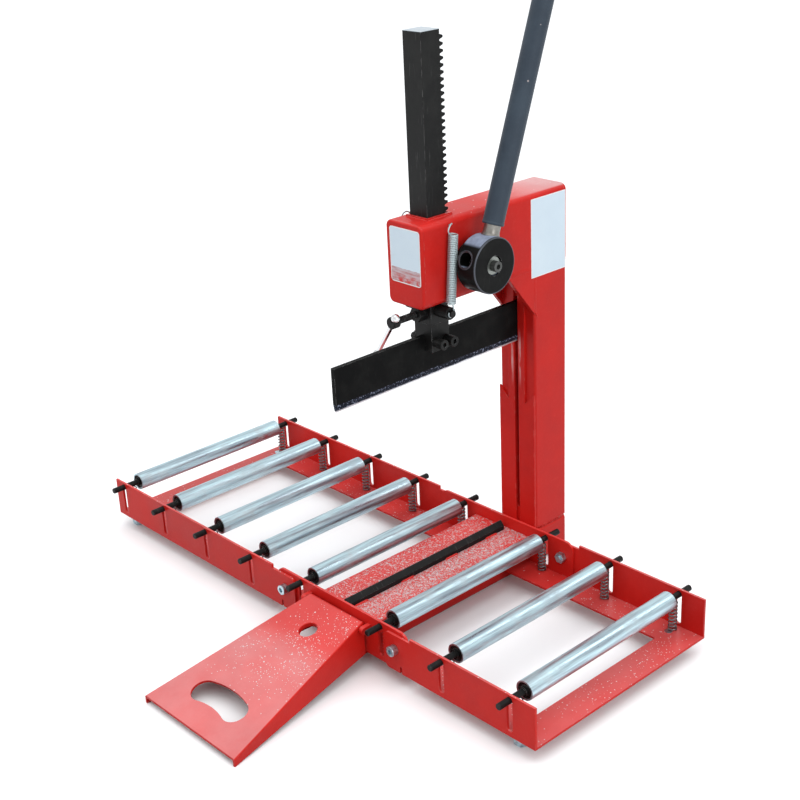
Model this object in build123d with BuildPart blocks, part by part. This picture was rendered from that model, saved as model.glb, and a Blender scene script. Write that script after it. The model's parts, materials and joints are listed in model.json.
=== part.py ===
from build123d import *
import math
import os

# Lengths are millimetres and angles degrees. +X runs along the roller tables, +Y from the step
# plate to the column and +Z up. The floor is z = 0, and x = 0 is the plane of the two blades.

# Box-section frame
TUBE_WIDTH = 60.0
TUBE_WALL = 4.0
TUBE_CORNER = 8.0
COLUMN_CORNER = 3.0
CAP_THICK = 4.0
CAP_EDGE = 2.5
REAR_CAP_EDGE = 1.0
ARM_HEIGHT = 54.0
COLUMN_GAP = 24.0
COLUMN_DEPTH = 60.0
HEAD_TOP = 515.5
HEAD_HEIGHT = 101.5
HEAD_FRONT = -15.0
GUSSET_THICK = 6.0
GUSSET_ALONG = 49.6
GUSSET_DOWN = 61.7

# Tray and folding tables, bent from sheet
SHEET = 3.0
WALL_BOTTOM = 20.0
WALL_HEIGHT = 54.0
FLANGE = 43.0
HINGE_X = 102.0
HINGE_RISE = 30.0
HINGE_BOLT = 8.0
TRAY_BEYOND_HINGE = 18.0
TRAY_ROUND = 12.0
TAB_REACH = 18.0
TAB_ROOT = 26.0
TAB_DROP = 5.0
END_STRIP = 40.0
LEFT_MARGIN = 20.0
RIGHT_MARGIN = 37.0
FOOT_BOLT = 10.0
FOOT_HEAD = 9.0
FOOT_FROM_WALL = 17.0
LEFT_FOOT_INSET = 16.0
RIGHT_FOOT_INSET = 38.0

# Rollers on sprung axles
CENTRE_ROLLER_X = 74.0
LEFT_PITCH = 100.0
LEFT_COUNT = 4
RIGHT_PITCH = 105.5
RIGHT_COUNT = 2
ROLLER_D = 24.0
ROLLER_WALL = 2.0
ROLLER_LENGTH = 254.0
ROLLER_END_ROOM = 21.0
BEARING_WIDTH = 10.0
BEARING_RECESS = 2.0
AXLE_D = 8.0
AXLE_BELOW_TOP = 6.5
AXLE_PROUD = 18.0
AXLE_COLLAR_D = 12.0
AXLE_COLLAR_WIDTH = 2.5
SLOT_DROP = 37.0
ROLLER_SPRING_D = 11.6
ROLLER_SPRING_WIRE = 1.6
ROLLER_SPRING_TURNS = 3
ROLLER_SPRING_INSET = 11.0

# Bed and blades
BED_HALF = 54.0
BED_SHEET = 4.0
BED_LIP = 12.0
LOWER_BLADE_WIDTH = 12.0
LOWER_BLADE_RISE = 12.0
LOWER_BLADE_BEVEL = 6.0
LOWER_BLADE_SHORT = 7.0
BLADE_THICK = 6.0
BLADE_HEIGHT = 54.5
BLADE_BEVEL = 10.0
BLADE_EDGE = 1.0
BLADE_SHORT = 11.2
BLADE_TONGUE = 11.0
GUIDE_THICK = 3.0
GUIDE_WIDTH = 11.0
GUIDE_SHOULDER = 248.0

# Rack, pinion and lever
RACK_THICK = 29.0
RACK_DEPTH = 34.0
RACK_Y = 27.2
RACK_ABOVE_HEAD = 212.5
RACK_BELOW_HEAD = 28.0
MODULE = 2.5
PRESSURE_ANGLE = 20.0
PINION_TEETH = 14
RACK_ADDENDUM = 2.0
BACKLASH = 0.2
PINION_FACE = 28.0
PINION_RISE = 46.0
PINION_ROOM = 2.0
RACK_END_LAND = 1.0
SLEEVE_WALL = 3.0
SLEEVE_RIM = 2.5
SHAFT_D = 18.0
BUSH_D = 30.0
BUSH_DEPTH = 6.0
BUSH_FLANGE_D = 44.0
BUSH_FLANGE = 4.0
HUB_OFFSET = 13.5
HUB_D = 68.0
HUB_WIDTH = 29.5
HUB_RECESS = 5.0
LEVER_D = 18.0
LEVER_LENGTH = 614.0
LEVER_LEAN = 20.1
LEVER_INSET = 12.5
SOCKET_FLOOR = 15.0
SPOT_FACE = 1.2
GRIP_D = 25.5
GRIP_START = 46.0
GRIP_END_CAP = 6.0
RING_D = 34.0
RING_WIDTH = 5.0
WASHER_D = 21.6
WASHER_THICK = 3.0
HUB_SCREW = 8.0
SHAFT_PROUD = 2.0

# Clamp screw, return springs and fork on the rack under the head
STOP_GAP = 0.4
CLAMP_RISE = 14.0
CLAMP_REACH = 64.2
CLAMP_D = 8.0
CLAMP_DEPTH = 15.0
CLAMP_HEAD_D = 15.0
CLAMP_HEAD_LENGTH = 10.0
CLAMP_BOSS_AF = 17.0
CLAMP_BOSS = 12.0
TOMMY_D = 6.4
TOMMY_BALL_D = 11.0
TOMMY_SEAT = 5.0
TOMMY_DROP = 57.0
TOMMY_LEAN = 34.0
POST_D = 6.0
POST_ROOT_D = 15.5
POST_HEAD_D = 8.6
POST_HEAD = 2.2
POST_NECK_ROOM = 0.4
POST_FORWARD = 2.4
POST_RISE = 3.0
RETURN_SPRING_D = 12.0
RETURN_WIRE = 1.5
RETURN_TURNS = 18
RETURN_SIDE_GAP = 0.8
HOOK_BELOW_TOP = 7.5
HOOK_LEAN = 5.5
HOOK_HOLE_D = 2.6
FORK_NECK = 15.0
FORK_OVERLAP = 19.5
BLADE_BOLT = 8.0
BLADE_BOLT_RISE = 12.0
BLADE_BOLT_PITCH = 17.0
BLADE_SPACER = 7.8

# Step plate
STEP_LENGTH = 227.8
STEP_REAR_HALF = 48.5
STEP_FRONT_HALF = 87.4
STEP_FRONT_RISE = 10.5
STEP_BELOW_WALL = 7.5
STEP_REAR_GAP = 2.5
STEP_REAR_LIP = 9.0
STEP_PIVOT_AHEAD = 10.0
STEP_PIVOT_BELOW = 8.2
STEP_KNUCKLE_R = 4.5
STEP_PIN_D = 5.0
STEP_BEND = 4.5
STEP_EDGE = 2.4
STEP_LUG_ROOM = 1.0
STEP_LUG_WIDTH = 6.0
HAND_HOLE_WIDTH = 32.0
HAND_HOLE_CHORD = 60.0
HAND_HOLE_RISE = 4.5
HAND_HOLE_INSET = 47.0
LOOK_HOLE_D = 23.0
LOOK_HOLE_INSET = 48.0
LOOK_HOLE_COLLAR = 2.5
LOOK_HOLE_DEPTH = 6.0
LOOK_HOLE_ROLL = 1.4

# Fits: radial clearance where pieces turn, where they are seated, and between swinging plates
RUNNING = 0.05
SEAT = 0.03
WELD = 0.05
SWING_GAP = 0.3
SLIDE_GAP = 0.3
AXLE_GAP = 0.1
THREAD_PROUD = 2.0

# Positions that follow from the dimensions above
HALF_TUBE = TUBE_WIDTH / 2
HEAD_BOTTOM = HEAD_TOP - HEAD_HEIGHT
HEAD_MID = HEAD_TOP - HEAD_HEIGHT / 2
TABLE_INNER = ROLLER_LENGTH / 2 + ROLLER_END_ROOM
WALL_OUTER = TABLE_INNER + SHEET
TRAY_OUTER = TABLE_INNER - SWING_GAP
TRAY_INNER = TRAY_OUTER - SHEET
FOOT_Y = TABLE_INNER - FOOT_FROM_WALL
COLUMN_FRONT = WALL_OUTER + COLUMN_GAP
COLUMN_REAR = COLUMN_FRONT + COLUMN_DEPTH
COLUMN_MID = COLUMN_FRONT + COLUMN_DEPTH / 2
WALL_TOP = WALL_BOTTOM + WALL_HEIGHT
FLOOR_TOP = WALL_BOTTOM + SHEET
HINGE_Z = WALL_BOTTOM + HINGE_RISE
TRAY_END = HINGE_X + TRAY_BEYOND_HINGE
AXLE_Z = WALL_TOP - AXLE_BELOW_TOP
LEFT_ROLLERS = [CENTRE_ROLLER_X + LEFT_PITCH * (i + 1) for i in range(LEFT_COUNT)]
RIGHT_ROLLERS = [CENTRE_ROLLER_X + RIGHT_PITCH * (i + 1) for i in range(RIGHT_COUNT)]
LEFT_END = LEFT_ROLLERS[-1] + LEFT_MARGIN
RIGHT_END = RIGHT_ROLLERS[-1] + RIGHT_MARGIN
ROLLER_SPRING_Y = TABLE_INNER - ROLLER_SPRING_INSET
BED_TOP = ARM_HEIGHT + BED_SHEET
SLOT_WIDTH = BLADE_THICK + 2 * SLIDE_GAP
BLADE_FRONT = BLADE_SHORT - TRAY_INNER
PITCH_RADIUS = MODULE * PINION_TEETH / 2
PINION_OUTER = PITCH_RADIUS + MODULE
RACK_REAR = RACK_Y + RACK_DEPTH / 2
RACK_FRONT = RACK_Y - RACK_DEPTH / 2
RACK_ROOT = RACK_REAR - RACK_ADDENDUM - 1.25 * MODULE
RACK_HALF = RACK_THICK / 2
BAR_DEPTH = RACK_ROOT - RACK_FRONT
BAR_Y = (RACK_FRONT + RACK_ROOT) / 2
PINION_Y = RACK_REAR - RACK_ADDENDUM + PITCH_RADIUS
PINION_Z = HEAD_BOTTOM + PINION_RISE
RACK_TOP = HEAD_TOP + RACK_ABOVE_HEAD
RACK_BOTTOM = HEAD_BOTTOM - RACK_BELOW_HEAD
BORE_X = RACK_THICK + 2 * SLIDE_GAP
BORE_Y = RACK_DEPTH + 2 * SLIDE_GAP
SLEEVE_X = BORE_X + 2 * SLEEVE_WALL
SLEEVE_Y = BORE_Y + 2 * SLEEVE_WALL
HUB_X = HALF_TUBE + HUB_OFFSET
HUB_FACE = HUB_X + HUB_WIDTH
HUB_SEAT = HUB_FACE - HUB_RECESS
CLAMP_Y = RACK_Y - CLAMP_REACH
CLAMP_Z = RACK_BOTTOM + CLAMP_RISE
RETURN_X = HALF_TUBE + RETURN_SIDE_GAP + RETURN_SPRING_D / 2
POST_Y = BAR_Y - POST_FORWARD
POST_Z = CLAMP_Z + POST_RISE
HOOK_Y = BAR_Y + HOOK_LEAN
HOOK_Z = HEAD_TOP - HOOK_BELOW_TOP
BLADE_TOP = RACK_BOTTOM - FORK_NECK
FORK_BOTTOM = BLADE_TOP - FORK_OVERLAP
BLADE_BOLT_Z = FORK_BOTTOM + BLADE_BOLT_RISE
STEP_PIVOT_Y = -TRAY_OUTER - STEP_PIVOT_AHEAD
STEP_REAR = -TRAY_OUTER - STEP_REAR_GAP
STEP_FRONT = STEP_REAR - STEP_LENGTH
STEP_TOP = WALL_TOP - STEP_BELOW_WALL
STEP_PIVOT_Z = STEP_TOP - STEP_PIVOT_BELOW
STEP_SLOPE = math.atan2(STEP_TOP - STEP_FRONT_RISE, STEP_REAR - STEP_FRONT)
STEP_FLARE = math.atan2(STEP_FRONT_HALF - STEP_REAR_HALF, STEP_REAR - STEP_FRONT)


def facing_front(y):
    """Sketch plane at depth y: +X to the right, +Z up, normal towards the operator."""
    return Plane((0, y, 0), x_dir=(1, 0, 0), z_dir=(0, -1, 0))


def facing_right(x):
    """Sketch plane at x: +Y to the right, +Z up, normal along +X."""
    return Plane((x, 0, 0), x_dir=(0, 1, 0), z_dir=(1, 0, 0))


def tube_section(width, height, corner):
    """Draw a rounded box section in the sketch at hand."""
    RectangleRounded(width, height, corner)
    inside = max(corner - TUBE_WALL, TUBE_WALL / 4)
    RectangleRounded(width - 2 * TUBE_WALL, height - 2 * TUBE_WALL, inside, mode=Mode.SUBTRACT)


def cap_screw(size, length):
    """Socket-head screw with its head above z = 0 and its shank below."""
    with BuildPart() as screw:
        with BuildSketch():
            Circle(size / 2)
        extrude(amount=-length)
        with BuildSketch():
            Circle(0.8125 * size)
        extrude(amount=size)
        fillet(screw.faces().sort_by(Axis.Z)[-1].edges(), 0.08 * size)
        with BuildSketch(Plane.XY.offset(size)):
            RegularPolygon(0.375 * size, 6, major_radius=False)
        extrude(amount=-0.5 * size, mode=Mode.SUBTRACT)
    return screw.part


def hex_nut(size, height):
    """Hexagon nut standing on z = 0, bored to seat on its screw."""
    with BuildPart() as nut:
        with BuildSketch():
            RegularPolygon(0.8125 * size, 6, major_radius=False)
            Circle(size / 2 + SEAT, mode=Mode.SUBTRACT)
        extrude(amount=height)
    return nut.part


def biarc(start, leaving, end, arriving):
    """Draw two arcs from start to end that leave and arrive along the given directions."""
    leaving = leaving.normalized()
    arriving = arriving.normalized()
    across = end - start
    both = leaving + arriving
    bend = 2 * (1 - leaving.dot(arriving))
    along = across.dot(both)
    reach = (math.sqrt(along**2 + bend * across.dot(across)) - along) / bend
    corner_1 = start + leaving * reach
    corner_2 = end - arriving * reach
    middle = (corner_1 + corner_2) * 0.5
    TangentArc(start, middle, tangent=leaving)
    TangentArc(middle, end, tangent=corner_2 - corner_1)


def curls(base, axis, side, radius, pitch, turns):
    """Draw a wound wire of half-turn biarcs and return where it starts and ends."""
    across = axis.cross(side)
    stops = []
    for half in range(2 * turns + 1):
        angle = math.pi * half
        spoke = side * math.cos(angle) + across * math.sin(angle)
        ahead = across * math.cos(angle) - side * math.sin(angle)
        place = base + axis * (pitch * half / 2) + spoke * radius
        heading = (ahead * radius + axis * (pitch / (2 * math.pi))).normalized()
        stops.append((place, heading))
    for (start, leaving), (end, arriving) in zip(stops, stops[1:]):
        biarc(start, leaving, end, arriving)
    return stops[0], stops[-1]


def curl_ends(base, axis, side, radius, pitch, turns):
    """Place and heading at the first and last point of a wound wire."""
    across = axis.cross(side)
    heading = (across * radius + axis * (pitch / (2 * math.pi))).normalized()
    first = base + side * radius
    return first, first + axis * (pitch * turns), heading


def least_gap(path, wire, name):
    """Measure and print the least clear gap between separate stretches of a wound wire."""
    count = 700
    spots = [tuple(path.position_at(i / count)) for i in range(count + 1)]
    skip = math.ceil(3 * wire / path.length * count)
    least = min(
        math.dist(spots[i], spots[j])
        for i in range(count + 1)
        for j in range(i + skip, count + 1)
    )
    print(f"{name}: least gap to itself {least - wire:.2f} mm")


def mirrored_places(xs, y, z):
    """Front and rear positions at each x."""
    return [(x, side * y, z) for x in xs for side in (-1, 1)]


def keep(piece, name):
    """Label a finished piece and write it to its own file."""
    piece.label = name
    export_step(piece, f"parts/{name}.step")


os.makedirs("parts", exist_ok=True)

# Lower arm: box section from the front tray rail back under the column
with BuildPart() as lower_arm:
    with BuildSketch(facing_front(-TRAY_INNER)):
        with Locations((0, ARM_HEIGHT / 2)):
            tube_section(TUBE_WIDTH, ARM_HEIGHT, TUBE_CORNER)
    extrude(amount=-(TRAY_INNER + COLUMN_REAR - CAP_THICK))
keep(lower_arm.part, "lower_arm")

with BuildPart() as arm_end_cap:
    with BuildSketch(facing_front(COLUMN_REAR - CAP_THICK)):
        with Locations((0, ARM_HEIGHT / 2)):
            RectangleRounded(TUBE_WIDTH, ARM_HEIGHT, TUBE_CORNER)
    extrude(amount=-CAP_THICK)
    fillet(arm_end_cap.faces().sort_by(Axis.Y)[-1].edges(), CAP_EDGE)
keep(arm_end_cap.part, "arm_end_cap")

# Solid outlines of the column and the head, for coping the pieces welded to their round corners
with BuildPart() as column_outline:
    with BuildSketch(Plane.XY.offset(ARM_HEIGHT)):
        with Locations((0, COLUMN_MID)):
            RectangleRounded(TUBE_WIDTH + 2 * WELD, COLUMN_DEPTH + 2 * WELD, COLUMN_CORNER)
    extrude(amount=HEAD_TOP)
with BuildPart() as head_outline:
    with BuildSketch(facing_front(HEAD_FRONT)):
        with Locations((0, HEAD_MID)):
            RectangleRounded(TUBE_WIDTH + 2 * WELD, HEAD_HEIGHT + 2 * WELD, TUBE_CORNER)
    extrude(amount=-(COLUMN_REAR - HEAD_FRONT + TUBE_CORNER))
coped_y = COLUMN_FRONT + 0.6 * COLUMN_CORNER
coped_z = HEAD_BOTTOM + 0.6 * TUBE_CORNER

# Column: box section coped under the head, its front wall slotted for the upper blade's tongue
slot_bottom = BED_TOP + LOWER_BLADE_RISE + LOWER_BLADE_BEVEL
slot_top = BLADE_TOP + BLADE_THICK
with BuildPart() as column:
    with BuildSketch(Plane.XY.offset(ARM_HEIGHT)):
        with Locations((0, COLUMN_MID)):
            tube_section(TUBE_WIDTH, COLUMN_DEPTH, COLUMN_CORNER)
    extrude(amount=coped_z - ARM_HEIGHT)
    add(head_outline.part, mode=Mode.SUBTRACT)
    with BuildSketch(facing_front(COLUMN_FRONT)):
        with Locations((0, (slot_bottom + slot_top) / 2)):
            SlotOverall(slot_top - slot_bottom, SLOT_WIDTH, rotation=90)
    extrude(amount=-TUBE_WALL, mode=Mode.SUBTRACT)
keep(column.part, "column")

# Head: box section with openings for the rack sleeve, the shaft bushes and the spring hooks
with BuildPart() as head_beam:
    with BuildSketch(facing_front(HEAD_FRONT + CAP_THICK)):
        with Locations((0, HEAD_MID)):
            tube_section(TUBE_WIDTH, HEAD_HEIGHT, TUBE_CORNER)
    extrude(amount=-(COLUMN_REAR - HEAD_FRONT - 2 * CAP_THICK))
    with BuildSketch(Plane.XY.offset(HEAD_BOTTOM - SLEEVE_RIM)):
        with Locations((0, RACK_Y)):
            Rectangle(SLEEVE_X, SLEEVE_Y)
    extrude(amount=HEAD_HEIGHT + 2 * SLEEVE_RIM, mode=Mode.SUBTRACT)
    with BuildSketch(facing_right(-TUBE_WIDTH)):
        with Locations((PINION_Y, PINION_Z)):
            Circle(BUSH_D / 2 + SEAT)
        with Locations((HOOK_Y, HOOK_Z)):
            Circle(HOOK_HOLE_D / 2)
    extrude(amount=2 * TUBE_WIDTH, mode=Mode.SUBTRACT)
keep(head_beam.part, "head_beam")

with BuildPart() as head_front_cap:
    with BuildSketch(facing_front(HEAD_FRONT + CAP_THICK)):
        with Locations((0, HEAD_MID)):
            RectangleRounded(TUBE_WIDTH, HEAD_HEIGHT, TUBE_CORNER)
    extrude(amount=CAP_THICK)
    fillet(head_front_cap.faces().sort_by(Axis.Y)[0].edges(), CAP_EDGE)
keep(head_front_cap.part, "head_front_cap")

with BuildPart() as head_rear_cap:
    with BuildSketch(facing_front(COLUMN_REAR - CAP_THICK)):
        with Locations((0, HEAD_MID)):
            RectangleRounded(TUBE_WIDTH, HEAD_HEIGHT, TUBE_CORNER)
    extrude(amount=-CAP_THICK)
    fillet(head_rear_cap.faces().sort_by(Axis.Y)[-1].edges(), REAR_CAP_EDGE)
keep(head_rear_cap.part, "head_rear_cap")

with BuildPart() as rack_sleeve:
    with BuildSketch(Plane.XY.offset(HEAD_BOTTOM)):
        with Locations((0, RACK_Y)):
            Rectangle(SLEEVE_X, SLEEVE_Y)
            Rectangle(BORE_X, BORE_Y, mode=Mode.SUBTRACT)
    extrude(amount=HEAD_HEIGHT + SLEEVE_RIM)
    with BuildSketch(facing_front(RACK_Y)):
        with Locations((0, PINION_Z)):
            Rectangle(PINION_FACE + 2 * PINION_ROOM, 2 * (PINION_OUTER + PINION_ROOM))
    extrude(amount=-SLEEVE_Y, mode=Mode.SUBTRACT)
keep(rack_sleeve.part, "rack_sleeve")

with BuildPart() as gusset_plates:
    with BuildSketch(facing_right(HALF_TUBE - GUSSET_THICK)):
        Polygon(
            (coped_y, coped_z),
            (coped_y - GUSSET_ALONG, coped_z),
            (coped_y, coped_z - GUSSET_DOWN),
            align=None,
        )
    extrude(amount=GUSSET_THICK)
    add(column_outline.part, mode=Mode.SUBTRACT)
    add(head_outline.part, mode=Mode.SUBTRACT)
    mirror(about=Plane.YZ)
keep(gusset_plates.part, "gusset_plates")

with BuildPart() as blade_guides:
    guide_inner = SLOT_WIDTH / 2
    guide_outer = guide_inner + GUIDE_WIDTH
    with BuildSketch(facing_front(COLUMN_FRONT)):
        Polygon(
            (guide_inner, ARM_HEIGHT),
            (HALF_TUBE, ARM_HEIGHT),
            (HALF_TUBE, GUIDE_SHOULDER),
            (guide_outer, GUIDE_SHOULDER - HALF_TUBE + guide_outer),
            (guide_outer, HEAD_BOTTOM),
            (guide_inner, HEAD_BOTTOM),
            align=None,
        )
    extrude(amount=GUIDE_THICK)
    mirror(about=Plane.YZ)
keep(blade_guides.part, "blade_guides")


def tray_rail(side):
    """Front (-1) or rear (+1) angle of the tray, cut for the arm, the axles and the hinges."""
    middle = (WALL_BOTTOM + WALL_TOP) / 2
    with BuildPart() as rail:
        with BuildSketch(facing_front(side * TRAY_OUTER)) as wall:
            with Locations((0, middle)):
                Rectangle(2 * TRAY_END, WALL_HEIGHT)
            fillet(wall.vertices().group_by(Axis.Y)[-1], TRAY_ROUND)
            with Locations((-HINGE_X, HINGE_Z), (HINGE_X, HINGE_Z)):
                Circle(HINGE_BOLT / 2 + RUNNING, mode=Mode.SUBTRACT)
            with Locations(
                (-CENTRE_ROLLER_X, AXLE_Z - SLOT_DROP / 2),
                (CENTRE_ROLLER_X, AXLE_Z - SLOT_DROP / 2),
            ):
                SlotCenterToCenter(
                    SLOT_DROP, AXLE_D + 2 * AXLE_GAP, rotation=90, mode=Mode.SUBTRACT
                )
        extrude(amount=side * SHEET)
        with BuildSketch(Plane.XY.offset(WALL_BOTTOM)):
            with Locations((0, side * (TRAY_OUTER - FLANGE / 2))):
                Rectangle(2 * TRAY_END, FLANGE)
        extrude(amount=SHEET)
        with BuildSketch(facing_front(-TRAY_INNER)):
            with Locations((0, ARM_HEIGHT / 2)):
                Rectangle(TUBE_WIDTH, ARM_HEIGHT)
        extrude(amount=-3 * TRAY_INNER, mode=Mode.SUBTRACT)
    return rail.part


tray_front_rail = tray_rail(-1)
keep(tray_front_rail, "tray_front_rail")
tray_rear_rail = tray_rail(1)
keep(tray_rear_rail, "tray_rear_rail")

# Bed: inverted channel on the arm, slotted for the lower blade
bed_length = 2 * (TRAY_INNER - SWING_GAP)
lower_blade_length = 2 * (TRAY_INNER - LOWER_BLADE_SHORT)
with BuildPart() as bed_plate:
    with BuildSketch(Plane.XY.offset(ARM_HEIGHT)):
        Rectangle(2 * BED_HALF, bed_length)
        Rectangle(
            LOWER_BLADE_WIDTH + 2 * WELD, lower_blade_length + 2 * WELD, mode=Mode.SUBTRACT
        )
    extrude(amount=BED_SHEET)
    with BuildSketch(Plane.XY.offset(ARM_HEIGHT)):
        with Locations((-BED_HALF + BED_SHEET / 2, 0), (BED_HALF - BED_SHEET / 2, 0)):
            Rectangle(BED_SHEET, bed_length)
    extrude(amount=-BED_LIP)
    outer_bends = bed_plate.faces().sort_by(Axis.Z)[-1].edges().filter_by(Axis.Y)
    fillet(outer_bends.group_by(lambda edge: abs(edge.center().X))[-1], 0.75 * BED_SHEET)
keep(bed_plate.part, "bed_plate")

with BuildPart() as lower_blade:
    ridge = BED_TOP + LOWER_BLADE_RISE
    half = LOWER_BLADE_WIDTH / 2
    with BuildSketch(facing_front(0)):
        Polygon(
            (-half, ARM_HEIGHT),
            (half, ARM_HEIGHT),
            (half, ridge - LOWER_BLADE_BEVEL),
            (BLADE_EDGE / 2, ridge),
            (-BLADE_EDGE / 2, ridge),
            (-half, ridge - LOWER_BLADE_BEVEL),
            align=None,
        )
    extrude(amount=lower_blade_length / 2, both=True)
keep(lower_blade.part, "lower_blade")

with BuildPart() as shaft_bushes:
    with BuildSketch(facing_right(HALF_TUBE - BUSH_DEPTH)):
        with Locations((PINION_Y, PINION_Z)):
            Circle(BUSH_D / 2)
    extrude(amount=BUSH_DEPTH)
    with BuildSketch(facing_right(HALF_TUBE)):
        with Locations((PINION_Y, PINION_Z)):
            Circle(BUSH_FLANGE_D / 2)
    extrude(amount=HUB_OFFSET - STOP_GAP)
    with BuildSketch(facing_right(-HALF_TUBE)):
        with Locations((PINION_Y, PINION_Z)):
            Circle(BUSH_D / 2)
    extrude(amount=BUSH_DEPTH)
    with BuildSketch(facing_right(-HALF_TUBE)):
        with Locations((PINION_Y, PINION_Z)):
            Circle(BUSH_FLANGE_D / 2)
    extrude(amount=-BUSH_FLANGE)
    with BuildSketch(facing_right(-2 * TUBE_WIDTH)):
        with Locations((PINION_Y, PINION_Z)):
            Circle(SHAFT_D / 2 + RUNNING)
    extrude(amount=4 * TUBE_WIDTH, mode=Mode.SUBTRACT)
keep(shaft_bushes.part, "shaft_bushes")

# Return springs: hooked in the head's sides above and round the rack's posts below
wire = RETURN_WIRE
hook_r = POST_D / 2 + wire / 2 + SWING_GAP
bend_r = RETURN_X - HALF_TUBE - wire / 2
run_out = 4.5 * wire
hang = Vector(RETURN_X, HOOK_Y, HOOK_Z - bend_r)
catch = Vector(RETURN_X, POST_Y, POST_Z + 2.2 * hook_r)
down = (catch - hang).normalized()
wound = (catch - hang).length - 2 * run_out
mean_r = (RETURN_SPRING_D - wire) / 2
return_pitch = wound / RETURN_TURNS
with BuildPart() as return_springs:
    with BuildLine() as return_path:
        inside_end = Vector(HALF_TUBE - TUBE_WALL - wire, HOOK_Y, HOOK_Z)
        outside = Vector(HALF_TUBE + wire / 2, HOOK_Y, HOOK_Z)
        sideways = Vector(1, 0, 0)
        Line(inside_end, outside)
        biarc(outside, sideways, hang, down)
        first, last, heading = curl_ends(
            hang + down * run_out, down, sideways, mean_r, return_pitch, RETURN_TURNS
        )
        biarc(hang, down, first, heading)
        curls(hang + down * run_out, down, sideways, mean_r, return_pitch, RETURN_TURNS)
        biarc(last, heading, catch, down)
        hook_front = Vector(RETURN_X, POST_Y - hook_r, POST_Z)
        hook_rear = Vector(RETURN_X, POST_Y + hook_r, POST_Z)
        biarc(catch, down, hook_front, Vector(0, 0, -1))
        ThreePointArc(hook_front, Vector(RETURN_X, POST_Y, POST_Z - hook_r), hook_rear)
        Line(hook_rear, hook_rear + Vector(0, 0, wire))
    with BuildSketch(Plane(inside_end, z_dir=sideways)):
        Circle(wire / 2)
    sweep()
    mirror(about=Plane.YZ)
least_gap(return_path.wire(), wire, "return spring")
keep(return_springs.part, "return_springs")

# Compression spring under one end of an axle, standing at the origin
spring_height = AXLE_Z - AXLE_D / 2 - SWING_GAP - FLOOR_TOP
spring_r = (ROLLER_SPRING_D - ROLLER_SPRING_WIRE) / 2
with BuildPart() as roller_spring:
    wire = ROLLER_SPRING_WIRE
    rise = spring_r
    up = Vector(0, 0, 1)
    spoke = Vector(1, 0, 0)
    spring_pitch = (spring_height - 2 * wire - 2 * rise) / ROLLER_SPRING_TURNS
    coil_base = Vector(0, 0, wire + rise)
    with BuildLine() as spring_path:
        stub = Vector(0, -spring_r, 0)
        Line(stub, stub + up * wire)
        first, last, heading = curl_ends(
            coil_base, up, spoke, spring_r, spring_pitch, ROLLER_SPRING_TURNS
        )
        biarc(stub + up * wire, up, first, heading)
        curls(coil_base, up, spoke, spring_r, spring_pitch, ROLLER_SPRING_TURNS)
        top = Vector(0, spring_r, spring_height)
        biarc(last, heading, top - up * wire, up)
        Line(top - up * wire, top)
    with BuildSketch(Plane(stub, z_dir=up)):
        Circle(wire / 2)
    sweep()
least_gap(spring_path.wire(), ROLLER_SPRING_WIRE, "roller spring")


def spring_group(xs):
    """Springs on the floor flanges under both ends of the axles at each x."""
    with BuildPart() as group:
        with Locations(*mirrored_places(xs, ROLLER_SPRING_Y, FLOOR_TOP)):
            add(roller_spring.part)
    return group.part


keep(spring_group([-CENTRE_ROLLER_X, CENTRE_ROLLER_X]), "centre_springs")
keep(spring_group([-x for x in LEFT_ROLLERS]), "left_springs")
keep(spring_group(RIGHT_ROLLERS), "right_springs")

# Hinge bolts through the table tabs and the tray rails, with nuts inside the tray
nut_height = 0.8 * HINGE_BOLT
head_face = WALL_OUTER + SWING_GAP
hinge_screw = cap_screw(HINGE_BOLT, head_face - TRAY_INNER + nut_height + THREAD_PROUD)
with BuildPart() as hinge_bolts:
    with Locations(
        Location((-HINGE_X, -head_face, HINGE_Z), (90, 0, 0)),
        Location((HINGE_X, -head_face, HINGE_Z), (90, 0, 0)),
        Location((-HINGE_X, head_face, HINGE_Z), (-90, 0, 0)),
        Location((HINGE_X, head_face, HINGE_Z), (-90, 0, 0)),
    ):
        add(hinge_screw)
keep(hinge_bolts.part, "hinge_bolts")

with BuildPart() as hinge_nuts:
    with Locations(
        Location((-HINGE_X, -TRAY_INNER, HINGE_Z), (-90, 0, 0)),
        Location((HINGE_X, -TRAY_INNER, HINGE_Z), (-90, 0, 0)),
        Location((-HINGE_X, TRAY_INNER, HINGE_Z), (90, 0, 0)),
        Location((HINGE_X, TRAY_INNER, HINGE_Z), (90, 0, 0)),
    ):
        add(hex_nut(HINGE_BOLT, nut_height))
keep(hinge_nuts.part, "hinge_nuts")


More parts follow.
